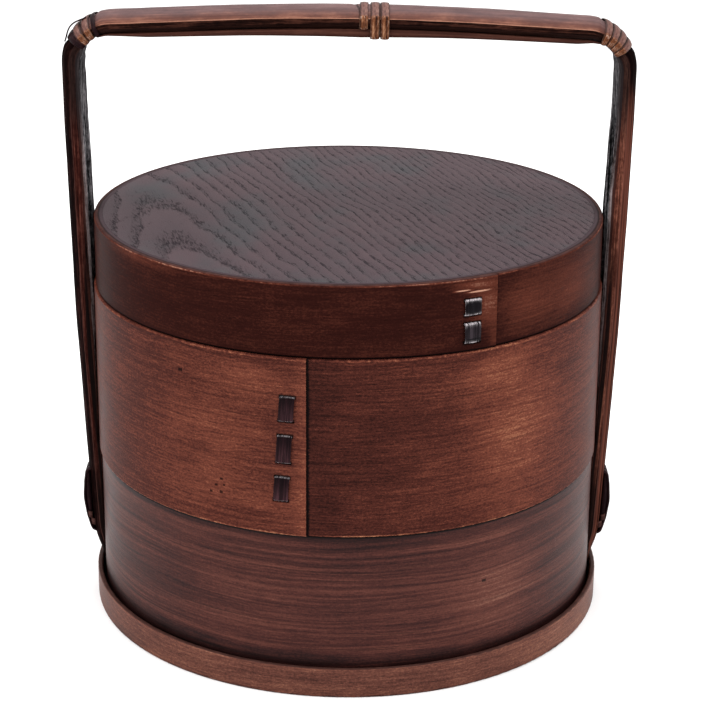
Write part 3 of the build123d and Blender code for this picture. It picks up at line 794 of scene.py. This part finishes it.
def handle_bow(materials):
    """The split-bamboo bow: its skin outside, its hollow inside, and necks pared for the lashings."""
    line = crown_line(1.4)
    total = line[-1][2]
    rings = []
    leg_rings = []
    for point, way, length in line:
        crown = abs(point.x)
        fallen = steepness(way)
        on_leg = crown > 110 and fallen > 45
        leg_rings.append(on_leg)
        half = HALF_WIDTH
        if on_leg:
            # The tips are pared where they slip in behind the base hoop
            half *= math.sqrt(max(0.05, min(1.0, (crown - 120.7) / 3.9)))
        neck = eased(fallen, 15.0, 21.0) * (1 - eased(fallen, 62.0, 70.0)) * eased(crown, 105, 112)
        half -= 0.8 * neck
        # The legs are thickest beside the drum, and the crossbar is thinned for the strip
        swell = 0.9 * eased(fallen, 60, 89) * (1 - eased(point.y, 200, 262))
        swell -= 0.3 * (1 - eased(fallen, 20, 60))
        shaved = max(0.0, 1 - abs(min(length, total - length) - 262) / 40)
        ring = []
        for depth, y, zone in bow_section(half, GROOVE * (1 - 0.75 * shaved)):
            share = eased(depth, ARRIS_DEPTH + 1, BOW_DEPTH)
            deep = depth + unevenness(length, depth, y, zone, shaved)
            deep += swell * share + 0.95 * neck * (1 - share)
            edge = math.copysign(2.0, y)
            narrowed = 0.98 + 0.02 * noise.noise(Vector((length * 0.05, 3.0, edge)))
            side = y * narrowed + 0.1 * noise.noise(Vector((length * 0.03, 3.0, edge)))
            if not on_leg and zone == SKIN:
                cleft = point.x + 0.25 * y - 3.0
                deep += 0.7 * math.exp(-((cleft / 0.8) ** 2)) * eased(abs(y), 0, 4)
            place = point + inward(way) * deep
            x = clear_of_drum(place.x, side, place.y) if place.y < LID_TOP else place.x
            ring.append((x, side, place.y))
        rings.append(ring)
    outline = bow_section(HALF_WIDTH, GROOVE)
    across = girth([(depth, y) for depth, y, _ in outline])

    def pick(i, j):
        zone = outline[j][2]
        return LEG_SKIN if zone == SKIN and leg_rings[i] else zone

    return swept("bamboo_bow", rings, distances(line), across, materials, pick)


def strip_section(half, thick):
    """Rounded rectangle, as depth and side place."""
    corner = min(0.7, thick / 3)
    steps = [-half + corner + place * (half - corner) / 4 for place in range(9)]
    eased_corner = [(corner * 0.3, half - corner * 0.3), (corner, half)]
    far_corner = [(thick - depth, y) for depth, y in reversed(eased_corner)]
    rising = [*eased_corner, *far_corner]
    falling = [(depth, -y) for depth, y in reversed(rising)]
    return [(0.0, y) for y in steps] + rising + [(thick, -y) for y in steps] + falling


def grip_strip(material):
    """Flat bamboo strip under the crossbar, with tapered ends."""
    line = [item for item in crown_line(1.5) if abs(item[0].x) < STRIP_REACH and item[0].y > BAR_LEVEL]
    rings = []
    for point, way, length in line:
        middle = max(0.0, 1 - abs(point.x - PEAK[0]) / STRIP_REACH)
        thick = STRIP_TIP + (STRIP_MIDDLE - STRIP_TIP) * middle**1.3
        thick *= min(1.0, 0.2 + (point.x + STRIP_REACH) / 32, 0.3 + (STRIP_REACH - point.x) / 20)
        ring = []
        for depth, y in strip_section(STRIP_HALF, thick):
            sway = 0.12 * noise.noise(Vector((length * 0.03, y * 0.2, depth + 70)))
            reach = BOW_DEPTH + SNUG + depth + sway * depth / STRIP_MIDDLE
            place = point + inward(way) * reach
            ring.append((place.x, y + sway, place.y))
        rings.append(ring)
    across = girth(strip_section(STRIP_HALF, STRIP_MIDDLE))
    return swept("bamboo_grip_strip", rings, distances(line), across, [material])


# ---- Rattan ----


def cane_section(width, thick):
    """Flat strand with a crowned outer face, as lift and side place."""
    half = width / 2
    outer = []
    for place in range(-4, 5):
        outer.append((thick * (0.62 + 0.38 * (1 - (place / 4) ** 2)), half * 0.94 * place / 4))
    edge = [(thick * 0.35, half), (0.08 * thick, half * 0.94)]
    inner = [(0.0, half * place) for place in (0.6, 0.0, -0.6)]
    return outer + edge + inner + [(lift, -side) for lift, side in reversed(edge)]


def wrap_outline(depth, clearance):
    """Closed way round the bamboo for the underside of a strand, as depth and side place."""
    half = HALF_WIDTH + clearance
    skin = SKIN_RADIUS + clearance
    crown = []
    for place in range(-10, 11):
        y = HALF_WIDTH * 0.93 * place / 10
        crown.append((SKIN_RADIUS - math.sqrt(skin**2 - y * y), y))
    bottom = depth + clearance
    flank = [(ARRIS_DEPTH - 0.6, half - 0.25), (ARRIS_DEPTH, half), (bottom - 1.4, half)]
    flank += [(bottom - 0.4, half - 0.4), (bottom, half - 1.4)]
    return crown + flank + [(bottom, 0.0)] + [(d, -y) for d, y in reversed(flank)]


def station(line, test):
    """The first sample of the crown line that passes the test, as its point and direction."""
    return next((point, way) for point, way, _ in line if test(point, way))


def wrap(name, place, depth, widths, material, skew, lift, thick):
    """One turn of cane round the bamboo at a station. widths are at the crown and inside the bow."""
    point, way = place
    outline = wrap_outline(depth, SNUG + lift)
    along = girth(outline)
    rings = []
    for index, (d, y) in enumerate(outline):
        before, after = outline[index - 1], outline[(index + 1) % len(outline)]
        tangent = (Vector(after) - Vector(before)).normalized()
        out = Vector((-tangent.y, tangent.x))
        if out.dot(Vector((d - 5.0, y))) < 0:
            out = -out
        width = widths[0] + (widths[1] - widths[0]) * max(0.0, min(1.0, d / depth))
        shift = skew * y / HALF_WIDTH
        shift += 0.15 * noise.noise(Vector((along[index] * 0.12, point.x, point.y)))
        ring = []
        for raised, side in cane_section(width, thick):
            spot = point + inward(way) * (d + out.x * raised) + way * (side + shift)
            ring.append((spot.x, y + out.y * raised, spot.y))
        rings.append(ring)
    return swept(name, rings, along, girth(cane_section(widths[0], thick)), [material], loop=True)


def centre_lashing(material):
    """Three turns near the middle of the crossbar: one round the bow alone, two round the strip too."""
    line = crown_line(0.25)
    bow_alone, with_strip = BOW_DEPTH - 0.3, BOW_DEPTH + SNUG + STRIP_ROOM
    turns = [(6.4, bow_alone, 3.9, 0.25), (11.5, with_strip, 4.3, 0.0), (16.0, with_strip, 4.0, -0.1)]
    parts = []
    for number, (x, depth, width, skew) in enumerate(turns):
        place = station(line, lambda point, way: point.y > BAR_LEVEL and point.x >= x)
        parts.append(wrap(f"turn_{number}", place, depth, (width, width), material, skew, -0.1, 0.75))
    return joined("rattan_centre_lashing", parts)


def corner_lashing(name, side, turns):
    """Turns round one bend: each is its angle from the crossbar, widths, skew, lift, thickness, cane.

    The first turn also holds the tip of the strip under the crossbar.
    """
    line = crown_line(0.25)
    parts = []
    for number, (angle, widths, skew, lift, thick, material) in enumerate(turns):
        slope = math.radians(angle)

        def passes(point, way):
            fallen = math.atan2(-way.y * side, way.x)
            on_side = point.x * side > 100 and point.y > 255
            return on_side and (fallen >= slope if side > 0 else fallen <= slope)

        depth = BOW_DEPTH + (0.1 if number else 0.7)
        place = station(line, passes)
        parts.append(wrap(f"turn_{number}", place, depth, widths, material, skew, lift, thick))
    if side < 0:
        parts.append(loose_end("loose_end", line, turns[-1][-1]))
    return joined(name, parts)


def loose_end(name, line, material):
    """Loose end of cane that stands off the skin outside the left bend."""
    first, last = 30.0, 66.0
    section = cane_section(2.0, 0.7)
    stretch = [item for item in line if item[0].x <= -110 and first < steepness(item[1]) < last]
    rings = []
    for point, way, _ in stretch:
        share = (steepness(way) - first) / (last - first)
        off = 1.5 * math.sin(math.pi * share) ** 2 - 0.4
        ring = []
        for raised, side in section:
            place = point - inward(way) * (off + raised)
            ring.append((place.x, side - 3.0, place.y))
        rings.append(ring[::-1])
    return swept(name, rings, distances(stretch), girth(section), [material])


def leg_lashing(name, side, dark, light):
    """Three flat strands sewn through leg and wall, bowed outwards, with two binding turns below."""
    middle = (LASHING_FOOT + LASHING_TOP) / 2
    inner_run = [(INSIDE_WALL, LASHING_FOOT), (INSIDE_WALL, middle)]
    outer_run = [(128.3, LASHING_TOP), (129.3, 54.0), (129.9, 45.5), (128.5, 36.0), (126.2, LASHING_FOOT)]
    loop = [(INSIDE_WALL, middle), (INSIDE_WALL, LASHING_TOP), *outer_run, *inner_run]
    line = filleted(loop, [1.2, 3.2, 18.0, 24.0, 24.0, 2.6, 1.2], 1.0)
    section = cane_section(STRAND_WIDTH, STRAND_THICKNESS)
    parts = []
    for number in (-1, 0, 1):
        rings = []
        for point, way, length in line[:-1]:
            sway = 0.1 * noise.noise(Vector((length * 0.09, number * 5.0, 1.0)))
            ring = []
            for raised, y in section:
                place = point - inward(way) * (raised - STRAND_THICKNESS / 2)
                ring.append((side * place.x, y + STRAND_PITCH * number + sway, place.y))
            rings.append(ring[::side])
        parts.append(swept(f"strand_{number}", rings, distances(line), girth(section), [dark], loop=True))
    parts.append(lashing_core("core", side, dark))
    for number, height in enumerate((33.2, 37.0)):
        parts.append(binding(f"binding_{number}", side, height, light))
    return joined(name, parts)


def lashing_core(name, side, material):
    """The inner turns of a leg lashing, which fill it from the leg out to the outer strands."""
    crown, foot = LEG_LINE[1]
    rings = []
    heights = [29.6 + 30.0 * place / 16 for place in range(17)]
    for height in heights:
        leg = crown - 0.1 + (height - foot) * LEG_LEAN
        bulge = 1 - ((height - 45.0) / 17.5) ** 2
        outer = leg + 0.2 + max(0.1, 2.1 * bulge)
        front = [(leg - 0.6, 5.6), (outer - 0.9, 5.9), (outer, 4.6)]
        section = [*front, (outer, 0.0), *((x, -y) for x, y in reversed(front))]
        rings.append([(side * x, y, height) for x, y in section][::side])
    # The section changes with the height, so these are its rounded distances
    across = (0.0, 3.0, 4.5, 9.0, 13.5, 15.0, 18.0, 29.0)
    return swept(name, rings, heights, across, [material])


def binding(name, side, height, material):
    """One turn of cane round the three strands of a leg lashing."""
    outer = 126.9 + (height - 33.2) * 0.42
    inner, half = outer - 2.4, 6.6
    front = [(inner, 0.0), (inner, half), (outer - 0.6, half), (outer, half - 0.8)]
    outline = [*front, (outer + 0.15, 0.0), *((x, -y) for x, y in reversed(front))]
    line = filleted(outline, [0.6, 0.5, 0.5, 30.0, 0.5, 0.5, 0.6], 0.8)
    section = cane_section(3.3, 0.9)
    rings = []
    for point, way, _ in line[:-1]:
        ring = []
        for raised, across in section:
            place = point + inward(way) * raised
            ring.append((side * place.x, place.y, height + across + 0.35 * (place.x - outer)))
        rings.append(ring[::side])
    return swept(name, rings, distances(line), girth(section), [material], loop=True)


# ---- Bark stitches ----


def ribbon_section(width, thick):
    """Thin strip with a crowned face, as lift and side place."""
    half = width / 2
    outer = []
    for place in range(-5, 6):
        outer.append((thick * (0.3 + 0.2 * (1 - (place / 5) ** 2)), half * 0.97 * place / 5))
    inner = [(-thick * 0.45, half * 0.97 * place / 3) for place in range(3, -4, -1)]
    return outer + [(0.0, half)] + inner + [(0.0, -half)]


def stitches(name, ribbon, wall, runs, tail, material):
    """One ribbon of bark, in and out through the wall, with a raised bow in each outer run.

    ribbon is its angle, lean and width, and wall is the wall's radii inside and outside.
    """
    angle, lean, width = ribbon
    middle = (runs[0][0] + runs[-1][1]) / 2
    inside, outside = wall[0] - 0.4, wall[1] + 0.42
    points = [(inside, runs[0][0] + tail)]
    bends = []
    for high, low in runs:
        crown = (outside + 0.3, (high + low) / 2)
        points += [(inside, high), (outside, high), crown, (outside, low), (inside, low)]
        bends += [0.32, 0.7, 14.0, 0.7, 0.32]
    points.append((inside, runs[-1][1] - tail))
    line = filleted(points, bends, 0.45)
    turn = math.radians(angle)
    outwards = Vector((math.sin(turn), -math.cos(turn)))
    sideways = Vector((math.cos(turn), math.sin(turn)))
    section = ribbon_section(width, RIBBON)
    rings = []
    for point, way, length in line:
        out = Vector((-way.y, way.x))
        if out.x < 0 and abs(way.x) < 0.5:
            out = -out
        drift = (point.y - middle) * math.tan(math.radians(lean))
        drift += 0.12 * noise.noise(Vector((length * 0.15, angle, 0.0)))
        ring = []
        for raised, side in section:
            place = outwards * (point.x + out.x * raised) + sideways * (side + drift)
            ring.append((place.x, place.y, point.y + out.y * raised))
        rings.append(ring)
    return swept(name, rings, distances(line), girth(section), [material])


def slit_shade(ribbon, radius, runs):
    """Marks of painted shade in the slits that a ribbon runs through, at their edges."""
    angle, lean, width = ribbon
    middle = (runs[0][0] + runs[-1][1]) / 2
    edge_shade = []
    for height in [z for run in runs for z in run]:
        shift = math.degrees((height - middle) * math.tan(math.radians(lean)) / radius)
        edge_shade.append((angle + shift, height, width / 2 + 0.9, 1.3))
    return edge_shade


# ---- Materials of the object ----

UPPER_TONES = [
    (0.02, (0.004, 0.0022, 0.0022)),
    (0.3, (0.020, 0.0055, 0.0045)),
    (0.5, (0.057, 0.0148, 0.0104)),
    (0.72, (0.145, 0.0410, 0.0245)),
    (1.0, (0.38, 0.16, 0.085)),
]
LID_TONES = [
    (0.02, (0.003, 0.0014, 0.0014)),
    (0.3, (0.009, 0.0022, 0.0019)),
    (0.5, (0.021, 0.0050, 0.0038)),
    (0.72, (0.090, 0.0240, 0.0145)),
    (1.0, (0.42, 0.22, 0.15)),
]
LOWER_TONES = [
    (0.02, (0.004, 0.0020, 0.0020)),
    (0.3, (0.018, 0.0058, 0.0055)),
    (0.5, (0.051, 0.0145, 0.0115)),
    (0.72, (0.105, 0.0340, 0.0240)),
    (1.0, (0.24, 0.11, 0.075)),
]
BASE_TONES = [
    (0.02, (0.012, 0.005, 0.0045)),
    (0.3, (0.055, 0.0190, 0.0140)),
    (0.5, (0.105, 0.0360, 0.0250)),
    (0.72, (0.18, 0.0700, 0.0450)),
    (1.0, (0.34, 0.18, 0.12)),
]
# The lid band's top: a worn red-brown outer part, and an inner part in the board's mauve, which holds a
# painted reflection
LID_END = ((0.014, 0.006, 0.0055), (0.070, 0.030, 0.026), (0.044, 0.029, 0.033))
# The base hoop's top: a brown outer part, and a near-black inner part that is painted shade in the gap by
# the lower tier
BASE_END = ((0.024, 0.010, 0.008), (0.085, 0.036, 0.029), (0.003, 0.002, 0.002))

# Worn patches, painted highlights and painted shade on the walls: angle, height, half-sizes and strength
UPPER_WEAR_AND_PAINTED_LIGHT = [
    (-30, 112, 26, 60, 0.12),
    (-11, 96, 9, 34, 0.08),
    (6, 120, 14, 70, -0.08),
    (39, 118, 19, 70, 0.2),
    (60, 118, 16, 60, 0.06),
    (-20, 149, 15, 14, 0.12),
    (31, 148, 14, 14, 0.14),
    (16, 104, 10, 22, 0.06),
]
LID_WEAR_AND_PAINTED_LIGHT = [
    (-52, 191.5, 22, 3.5, 0.12),
    (29, 181, 4.5, 16, 0.2),
    (26, 190.5, 8, 2.6, 0.2),
    (24, 188.4, 3.0, 0.6, 0.6),
    (27.5, 187.3, 4.0, 0.6, 0.7),
    (39, 178, 12, 22, 0.15),
    (56, 177, 22, 22, 0.16),
]
LOWER_WEAR_AND_PAINTED_LIGHT = [(-20, 40, 22, 26, 0.08), (34, 45, 18, 40, 0.16), (0, 74, 24, 16, -0.12)]
BASE_WEAR_AND_PAINTED_LIGHT = [(55, 7, 30, 16, 0.12)]

# Real dots, and painted shade in the slits of the ribbon
UPPER_MARKS_AND_SLIT_SHADE = [
    *slit_shade(UPPER_RIBBON, UPPER_RADIUS, UPPER_RUNS),
    (-37.4, 146.8, 1.3, 0.9),
    (-27.2, 99.8, 0.8, 0.7),
    (-28.5, 96.4, 0.8, 0.7),
    (-29.8, 92.9, 0.8, 0.7),
    (-27.3, 93.5, 0.9, 0.9),
    (-26.6, 97.0, 0.6, 0.6),
]
# Painted shade in the slits of the ribbon
LID_SLIT_SHADE = slit_shade(LID_RIBBON, DRUM_RADIUS, LID_RUNS)
LOWER_MARKS = [(31.2, 48.5, 1.2, 0.9)]

upper_wood = bentwood(
    "upper_bentwood",
    ior=1.085,
    wall=(UPPER_SEAM, UPPER_RADIUS, TIER_JOINT, LID_JOINT),
    tones=UPPER_TONES,
    wear_and_painted_light=UPPER_WEAR_AND_PAINTED_LIGHT,
    grains=(0.2, 0.46, 0.34, 0.7),
    shades=((3, -0.02), (4, -0.06)),
    rims=(0.42, 0.36),
    seam_pool_and_shade=-0.5,
    marks=UPPER_MARKS_AND_SLIT_SHADE,
)
lid_wood = bentwood(
    "lid_bentwood",
    ior=1.05,
    wall=(LID_SEAM, DRUM_RADIUS, LID_JOINT, LID_TOP),
    tones=LID_TONES,
    wear_and_painted_light=LID_WEAR_AND_PAINTED_LIGHT,
    grains=(0.1, 0.2, 0.26, 0.32),
    shades=((3, -0.02), (2, 0.0)),
    rims=(-0.5, 0.2),
    seam_pool_and_shade=-0.1,
    marks=LID_SLIT_SHADE,
    top=LID_END,
)
lower_wood = bentwood(
    "lower_bentwood",
    ior=1.17,
    wall=(LOWER_SEAM, DRUM_RADIUS, BASE_HOOP_TOP, TIER_JOINT),
    tones=LOWER_TONES,
    wear_and_painted_light=LOWER_WEAR_AND_PAINTED_LIGHT,
    grains=(0.8, 0.4, 0.26, 0.5),
    shades=((7, -0.26), (5, -0.16)),
    rims=(0.0, -0.45),
    seam_pool_and_shade=-0.3,
    marks=LOWER_MARKS,
)
base_wood = bentwood(
    "base_bentwood",
    ior=1.15,
    wall=(BASE_SEAM, BASE_RADIUS, FOOT, BASE_HOOP_TOP),
    tones=BASE_TONES,
    wear_and_painted_light=BASE_WEAR_AND_PAINTED_LIGHT,
    grains=(0.2, 0.7, 0.6, 0.9),
    shades=((1.2, -0.2), (1, 0.0)),
    rims=(0.0, 0.1),
    seam_pool_and_shade=-0.3,
    top=BASE_END,
)
board = lid_board("lid_board")
inside = inner_wood("inner_wood")

LID_BARK = ((0.045, 0.034, 0.040), (0.010, 0.008, 0.010))
TIER_BARK = ((0.066, 0.026, 0.031), (0.014, 0.0045, 0.0060))
lid_bark = bark("bark_lid", 121.0, LID_BARK, 0.9, 0.72)
upper_bark = bark("bark_upper", 122.0, TIER_BARK, 0.25, 0.56)
lower_bark = bark("bark_lower", 121.0, TIER_BARK, 0.25, 0.56)
base_bark = bark("bark_base", 124.8, TIER_BARK, 0.25, 0.56)
bow_materials = [
    bar_skin("bamboo_bar_skin"),
    bamboo_side("bamboo_side"),
    bamboo_edge("bamboo_edge"),
    bamboo_hollow("bamboo_hollow"),
    leg_skin("bamboo_leg_skin"),
]
strip_wood = bamboo_strip("bamboo_strip")
DARK_CANE = ((0.002, 0.001, 0.0015), (0.011, 0.0040, 0.0050), (0.08, 0.036, 0.036))
WORN_CANE = ((0.006, 0.002, 0.002), (0.045, 0.0180, 0.0150), (0.20, 0.10, 0.085))
cane = rattan("rattan")
dark_cane = dark_rattan("rattan_dark", DARK_CANE)
worn_cane = dark_rattan("rattan_worn", WORN_CANE)


# ---- CAD nodes that stay, and pieces that stand for the others ----


def assign(material, *nodes):
    """Gives CAD nodes this material."""
    for node in nodes:
        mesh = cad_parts[node].data
        mesh.materials.clear()
        mesh.materials.append(material)


assign(upper_wood, "upper_tier_wall")
assign(lid_wood, "lid_band")
assign(lower_wood, "lower_tier_wall")
assign(base_wood, "base_hoop")
assign(board, "lid_top")
assign(inside, "upper_tier_bottom", "upper_tier_spigot_hoop", "lid_spigot_hoop")
assign(inside, "lower_tier_bottom", "lower_tier_support_hoop")


def stand_in(piece, body, node):
    """Puts a piece on its body in place of a CAD node."""
    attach(piece, body)
    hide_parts(node)


LEFT_TURNS = [
    (23.0, (2.2, 1.8), 0.5, -0.75, 0.55, dark_cane),
    (33.0, (4.4, 2.9), 1.0, -0.8, 0.8, cane),
    (45.5, (4.6, 2.9), 0.6, -0.8, 0.8, cane),
    (57.5, (4.4, 2.6), -0.8, -0.75, 0.6, dark_cane),
]
RIGHT_TURNS = [
    (25.5, (3.9, 2.4), -0.8, -0.75, 0.75, cane),
    (36.0, (4.3, 2.5), -0.6, -0.8, 0.8, cane),
    (46.5, (4.3, 2.5), -0.3, -0.8, 0.8, cane),
    (57.0, (4.1, 2.4), 0.2, -0.75, 0.75, cane),
]
stand_in(handle_bow(bow_materials), "base", "handle_bow")
stand_in(grip_strip(strip_wood), "base", "handle_grip_strip")
stand_in(centre_lashing(cane), "base", "centre_lashing")
stand_in(corner_lashing("rattan_left_corner", -1, LEFT_TURNS), "base", "left_corner_lashing")
stand_in(corner_lashing("rattan_right_corner", 1, RIGHT_TURNS), "base", "right_corner_lashing")
for side, side_name in ((-1, "left"), (1, "right")):
    lashing = leg_lashing(f"rattan_{side_name}_leg", side, dark_cane, worn_cane)
    stand_in(lashing, "base", f"{side_name}_leg_lashing")

# Each ribbon's body, node, material, place, wall's radii, runs and tail inside
SEWN = [
    ("upper_tier", "upper_tier_stitches", upper_bark, UPPER_RIBBON, (116.3, 121.9), UPPER_RUNS, TAIL),
    ("lid", "lid_stitches", lid_bark, LID_RIBBON, (116.0, 120.9), LID_RUNS, TAIL),
    ("base", "lower_tier_stitches", lower_bark, LOWER_RIBBON, (116.6, 120.9), LOWER_RUNS, TAIL),
    ("base", "base_hoop_stitches", base_bark, BASE_RIBBON, (121.6, 124.7), BASE_RUNS, SHORT_TAIL),
]
for body, node, ribbon_bark, ribbon, wall, runs, tail in SEWN:
    stand_in(stitches("bark_" + node, ribbon, wall, runs, tail, ribbon_bark), body, node)


# ---- Studio ----


def studio_floor():
    """Pale floor under the base hoop."""
    half = 6.0
    mesh = bpy.data.meshes.new("floor")
    corners = [(-half, -half), (half, -half), (half, half), (-half, half)]
    mesh.from_pydata([(x, y, FOOT * MM) for x, y in corners], [], [(0, 1, 2, 3)])
    floor = bpy.data.objects.new("floor", mesh)
    bpy.context.scene.collection.objects.link(floor)
    paint = Paint("floor", 1.3)
    x, y, _ = paint.place()
    paper = paint.noise((x * 0.002, y * 0.002), 2.0)
    shade = paint.ramp(0.5 + paper, [(0.0, (0.86, 0.86, 0.86)), (1.0, (0.92, 0.92, 0.92))])
    paint.put(paint.shader.inputs["Base Color"], shade)
    paint.shader.inputs["Roughness"].default_value = 0.9
    mesh.materials.append(paint.material)
    floor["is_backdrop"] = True


def studio_light():
    """Pale sky, and soft lamps above and at the sides."""
    world = bpy.data.worlds.new("studio")
    bpy.context.scene.world = world
    world.use_nodes = True
    sky = world.node_tree.nodes["Background"]
    sky.inputs["Color"].default_value = (1.0, 1.0, 1.0, 1.0)
    sky.inputs["Strength"].default_value = 0.85
    middle_of_object = Vector((0.0, 0.0, 0.12))
    for name, place, width, height, power in (
        ("overhead", (0.0, 0.25, 1.9), 2.2, 2.2, 55.0),
        ("left_fill", (-1.5, -1.0, 0.9), 1.0, 1.4, 12.0),
        ("right_fill", (1.5, -1.0, 0.9), 1.0, 1.4, 10.0),
    ):
        lamp = bpy.data.lights.new(name, "AREA")
        lamp.shape = "RECTANGLE"
        lamp.size, lamp.size_y = width, height
        lamp.energy = power
        carrier = bpy.data.objects.new(name, lamp)
        carrier.location = place
        aim = middle_of_object - Vector(place)
        carrier.rotation_euler = aim.to_track_quat("-Z", "Y").to_euler()
        bpy.context.scene.collection.objects.link(carrier)


def camera():
    """Camera in front of the object, a little above it, looking down at it. Angles are in radians."""
    place = (0.0, -0.9682, 0.4699)
    pitch, yaw, roll = 0.3459, 0.0019, 0.0068
    level_ahead = Vector((math.sin(yaw), math.cos(yaw), 0.0))
    forward = level_ahead * math.cos(pitch) - Vector((0.0, 0.0, math.sin(pitch)))
    level = Vector((math.cos(yaw), -math.sin(yaw), 0.0))
    upright = level.cross(forward)
    right = level * math.cos(roll) + upright * math.sin(roll)
    up = upright * math.cos(roll) - level * math.sin(roll)
    data = bpy.data.cameras.new("camera")
    data.lens, data.sensor_width = 108.5, 36.0
    data.clip_start, data.clip_end = 0.01, 50.0
    view = bpy.data.objects.new("camera", data)
    turn = Matrix((right, up, -forward)).transposed().to_4x4()
    view.matrix_world = Matrix.Translation(place) @ turn
    bpy.context.scene.collection.objects.link(view)
    bpy.context.scene.camera = view
    bpy.context.scene.view_settings.view_transform = "Standard"


studio_floor()
studio_light()
camera()

boxes = {"cad": cad_box, "visual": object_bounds()}
{name: [list(corner) for corner in box] for name, box in boxes.items()}
